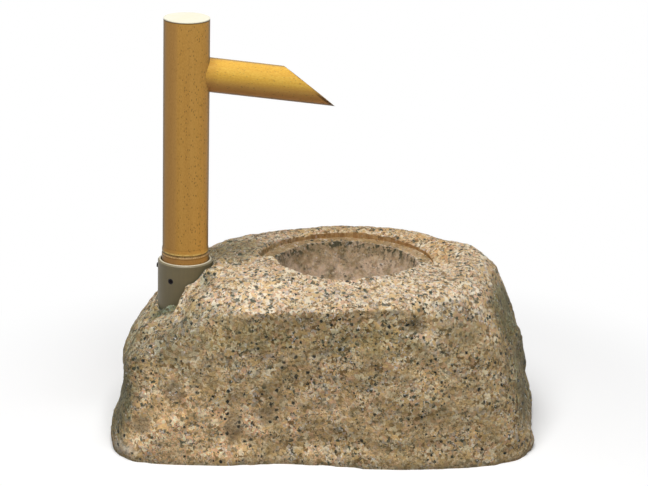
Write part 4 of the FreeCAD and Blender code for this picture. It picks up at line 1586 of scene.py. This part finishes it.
    def dress(self, effects: Effects) -> None:
        """Gives boulder and mortar their finishes.

        Args:
            effects: The shared effects.
        """
        for piece, finish, node, slot in (
            (self.stone, Granite(), "stone_basin", "granite"),
            (self.mortar, Mortar(), "socket_grout", "mortar"),
        ):
            piece.data.materials.clear()
            piece.data.materials.append(finish.build(effects))
            pick(piece)
            bpy.ops.object.shade_smooth_by_angle(angle=SMOOTH_UP_TO, keep_sharp_edges=False)
            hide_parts(node)
            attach(piece, STANDING_BODY)
            log.info("%s: %d faces", piece.name, len(piece.data.polygons))


@dataclass
class Socket:
    """The plastic sleeve in the boulder, its seat ring and its set screws."""

    rim: float
    stone_line: float = 0.158
    wood: Matter = Matter(
        "wood_sawn", (0.46, 0.30, 0.15), (0.30, 0.18, 0.08), 0.7, 60.0, relief=0.4, stretch=(1, 1, 0.2)
    )
    screw: Matter = Matter(
        "screw_black", (0.006, 0.004, 0.006), (0.012, 0.009, 0.010), 0.5, 160.0, relief=0.1, gloss=0.15
    )

    def dress(self, effects: Effects) -> None:
        """Gives the nodes their finishes.

        Args:
            effects: The shared effects.
        """
        hole = sum(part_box("set_screw_front"), Vector()) / 2
        sleeve = SocketPlastic(self.rim, self.stone_line, hole)
        dress(sleeve.build(effects), "socket_sleeve")
        dress(self.wood.build(effects), "post_seat_ring", "post_foot_plug", "pipe_guide")
        dress(self.screw.build(effects), "set_screw_front", "set_screw_left", "set_screw_rear")


@dataclass
class Culms:
    """The bamboo post with its cap, and the slanted spout."""

    post_axis: Vector
    spout_heading: Vector
    spout_height: float = 0.4746
    spout_radius: float = 0.0225
    spout_reach: float = 0.207
    post_skins: Stops = (
        (0.0, (0.56, 0.285, 0.062)),
        (0.5, (0.62, 0.328, 0.074)),
        (1.0, (0.67, 0.365, 0.088)),
    )
    spout_skins: Stops = (
        (0.0, (0.68, 0.370, 0.053)),
        (0.5, (0.73, 0.410, 0.062)),
        (1.0, (0.79, 0.500, 0.088)),
    )

    def dress(self, effects: Effects) -> None:
        """Gives the nodes their finishes.

        Args:
            effects: The shared effects.
        """
        post_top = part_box("bamboo_post")[1].z
        start = Vector((self.post_axis.x, self.post_axis.y, self.spout_height))
        post = PostBamboo("bamboo_post", self.post_axis, UP, post_top, self.post_skins)
        spout = SpoutBamboo(
            "bamboo_spout", start, self.spout_heading, self.spout_reach, self.spout_skins, self.spout_radius
        )
        cap = Matter("cap_ivory", (0.755, 0.725, 0.565), (0.75, 0.70, 0.48), 0.3, 24.0, relief=0.03)
        for finish, node in ((post, "bamboo_post"), (spout, "bamboo_spout"), (cap, "post_cap")):
            dress(finish.build(effects), node)


@dataclass
class Plumbing:
    """The pipes and fittings that feed the spout, and the drain of the bowl."""

    copper: Matter = Metal("copper_drawn", (0.80, 0.42, 0.27), (0.36, 0.17, 0.10), 0.28)
    brass: Matter = Metal("brass_machined", (0.78, 0.60, 0.28), (0.42, 0.30, 0.12), 0.3)
    steel: Matter = Metal("steel_satin", (0.62, 0.62, 0.60), (0.40, 0.38, 0.35), 0.32, amount=0.35)
    rubber: Matter = Matter(
        "rubber_black", (0.022, 0.022, 0.023), (0.06, 0.055, 0.05), 0.6, 120.0, relief=0.3
    )
    plastic: Matter = Matter("plastic_dark", (0.1, 0.1, 0.105), (0.16, 0.155, 0.15), 0.5, 90.0, relief=0.15)

    def dress(self, effects: Effects) -> None:
        """Gives the nodes their finishes.

        Args:
            effects: The shared effects.
        """
        dress(self.copper.build(effects), "riser_pipe", "outlet_pipe", "riser_elbow", "supply_pipe")
        dress(self.brass.build(effects), "inlet_elbow", "gland_nut", "inlet_adapter")
        dress(self.steel.build(effects), "drain_tube", "stopper_ring")
        dress(self.plastic.build(effects), "drain_nut")
        seals = ("riser_seal", "inlet_grommet", "drain_gasket", "drain_stopper", "spout_bush")
        dress(self.rubber.build(effects), *seals)


@dataclass(frozen=True)
class Lamp:
    """One soft, square lamp: its power in watts, the side of its face and where it hangs."""

    name: str
    power: float
    size: float
    place: Point

    def hang(self, aim: Point) -> None:
        """Adds the lamp.

        Args:
            aim: The point that it faces.
        """
        data = bpy.data.lights.new(self.name, "AREA")
        data.energy = self.power
        data.size = self.size
        way = (Vector(aim) - Vector(self.place)).to_track_quat("-Z", "Y").to_matrix().to_4x4()
        add_object(self.name, data).matrix_world = Matrix.Translation(Vector(self.place)) @ way


@dataclass
class Studio:
    """The camera at the photograph's angle, soft lamps, and a pale floor."""

    stand: Point = (-0.0312, -3.4139, 1.3298)
    pitch: float = math.radians(17.76)
    roll: float = math.radians(1.32)
    lens: float = 150.0
    sensor: float = 36.0
    lamps: tuple[Lamp, ...] = (
        Lamp("lamp_key", 112.0, 2.2, (-0.25, -1.05, 3.1)),
        Lamp("lamp_fill", 3.0, 1.6, (0.9, -2.6, 0.9)),
    )
    ambient: float = 0.15
    floor_reach: float = 6.0
    floor_bounce: float = 0.22
    floor_pale: float = 0.97
    shadow_reach: Limits = (0.36, 0.62)
    centre: Point = (0.0, 0.0, 0.2)

    def build(self) -> None:
        """Sets up camera, lamps, world and floor."""
        self._camera()
        for lamp in self.lamps:
            lamp.hang(self.centre)
        self._world()
        self._floor()
        bpy.context.scene.view_settings.view_transform = "Standard"

    def _camera(self) -> None:
        """Places the camera."""
        level = Matrix.Rotation(math.pi / 2 - self.pitch, 4, "X")
        data = bpy.data.cameras.new("camera")
        data.lens = self.lens
        data.sensor_width = self.sensor
        camera = add_object("camera", data)
        tilt = level @ Matrix.Rotation(self.roll, 4, "Z")
        camera.matrix_world = Matrix.Translation(Vector(self.stand)) @ tilt
        bpy.context.scene.camera = camera

    @staticmethod
    def _seen_directly(graph: Graph) -> object:
        """Marks the rays that show a backdrop as it is.

        Args:
            graph: The graph that needs the mark.

        Returns:
            The socket, 1 for such rays and 0 for the rest.
        """
        rays = graph.add("ShaderNodeLightPath").outputs
        seen = graph.math("MAXIMUM", rays["Is Camera Ray"], rays["Is Glossy Ray"])
        return graph.math("MAXIMUM", seen, rays["Is Transmission Ray"])

    def _world(self) -> None:
        """Makes a white surround that lights only a little."""
        world = bpy.data.worlds.new("surround")
        world.use_nodes = True
        bpy.context.scene.world = world
        graph = Graph(world.node_tree)
        strength = graph.band(self._seen_directly(graph), 0.0, 1.0, (self.ambient, 1.0))
        graph.give(world.node_tree.nodes["Background"], Color=(1, 1, 1), Strength=strength)

    def _floor(self) -> None:
        """Lays the pale floor, which keeps the object's shadow."""
        deselect()
        bpy.ops.mesh.primitive_plane_add(size=2 * self.floor_reach, location=(0, 0, 0))
        floor = bpy.context.object
        floor.name = "floor"
        material = bpy.data.materials.new("floor_pale")
        material.use_nodes = True
        graph = Graph(material.node_tree)
        material.node_tree.nodes.clear()
        pale, grey = (
            graph.add("ShaderNodeBsdfDiffuse", {"Color": (tone,) * 3}).outputs[0]
            for tone in (self.floor_pale, self.floor_bounce)
        )
        white = graph.add("ShaderNodeEmission", {"Color": (1, 1, 1), "Strength": 1.0}).outputs[0]
        far = graph.band(graph.from_axis(graph.place()), *self.shadow_reach)
        shown = graph.add("ShaderNodeMixShader", {0: far, 1: pale, 2: white}).outputs[0]
        seen = self._seen_directly(graph)
        blend = graph.add("ShaderNodeMixShader", {0: seen, 1: grey, 2: shown}).outputs[0]
        graph.add("ShaderNodeOutputMaterial", {"Surface": blend})
        floor.data.materials.append(material)


def main() -> None:
    """Builds the studio, then builds and dresses the basin."""
    logging.basicConfig(level=logging.INFO, format="%(name)s: %(message)s")
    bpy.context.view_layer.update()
    joints = {joint["name"]: joint for joint in frame["record"]["behaviour"]["joints"]}
    post = Vector(joints["post_turn"]["pos_m"])
    effects = Effects.build()
    Studio().build()
    boulder = Boulder(post)
    boulder.build()
    boulder.dress(effects)
    Socket(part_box("socket_sleeve")[1].z).dress(effects)
    Culms(post, Vector(joints["spout_pull"]["axis"])).dress(effects)
    Plumbing().dress(effects)
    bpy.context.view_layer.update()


if __name__ == "__main__":
    main()
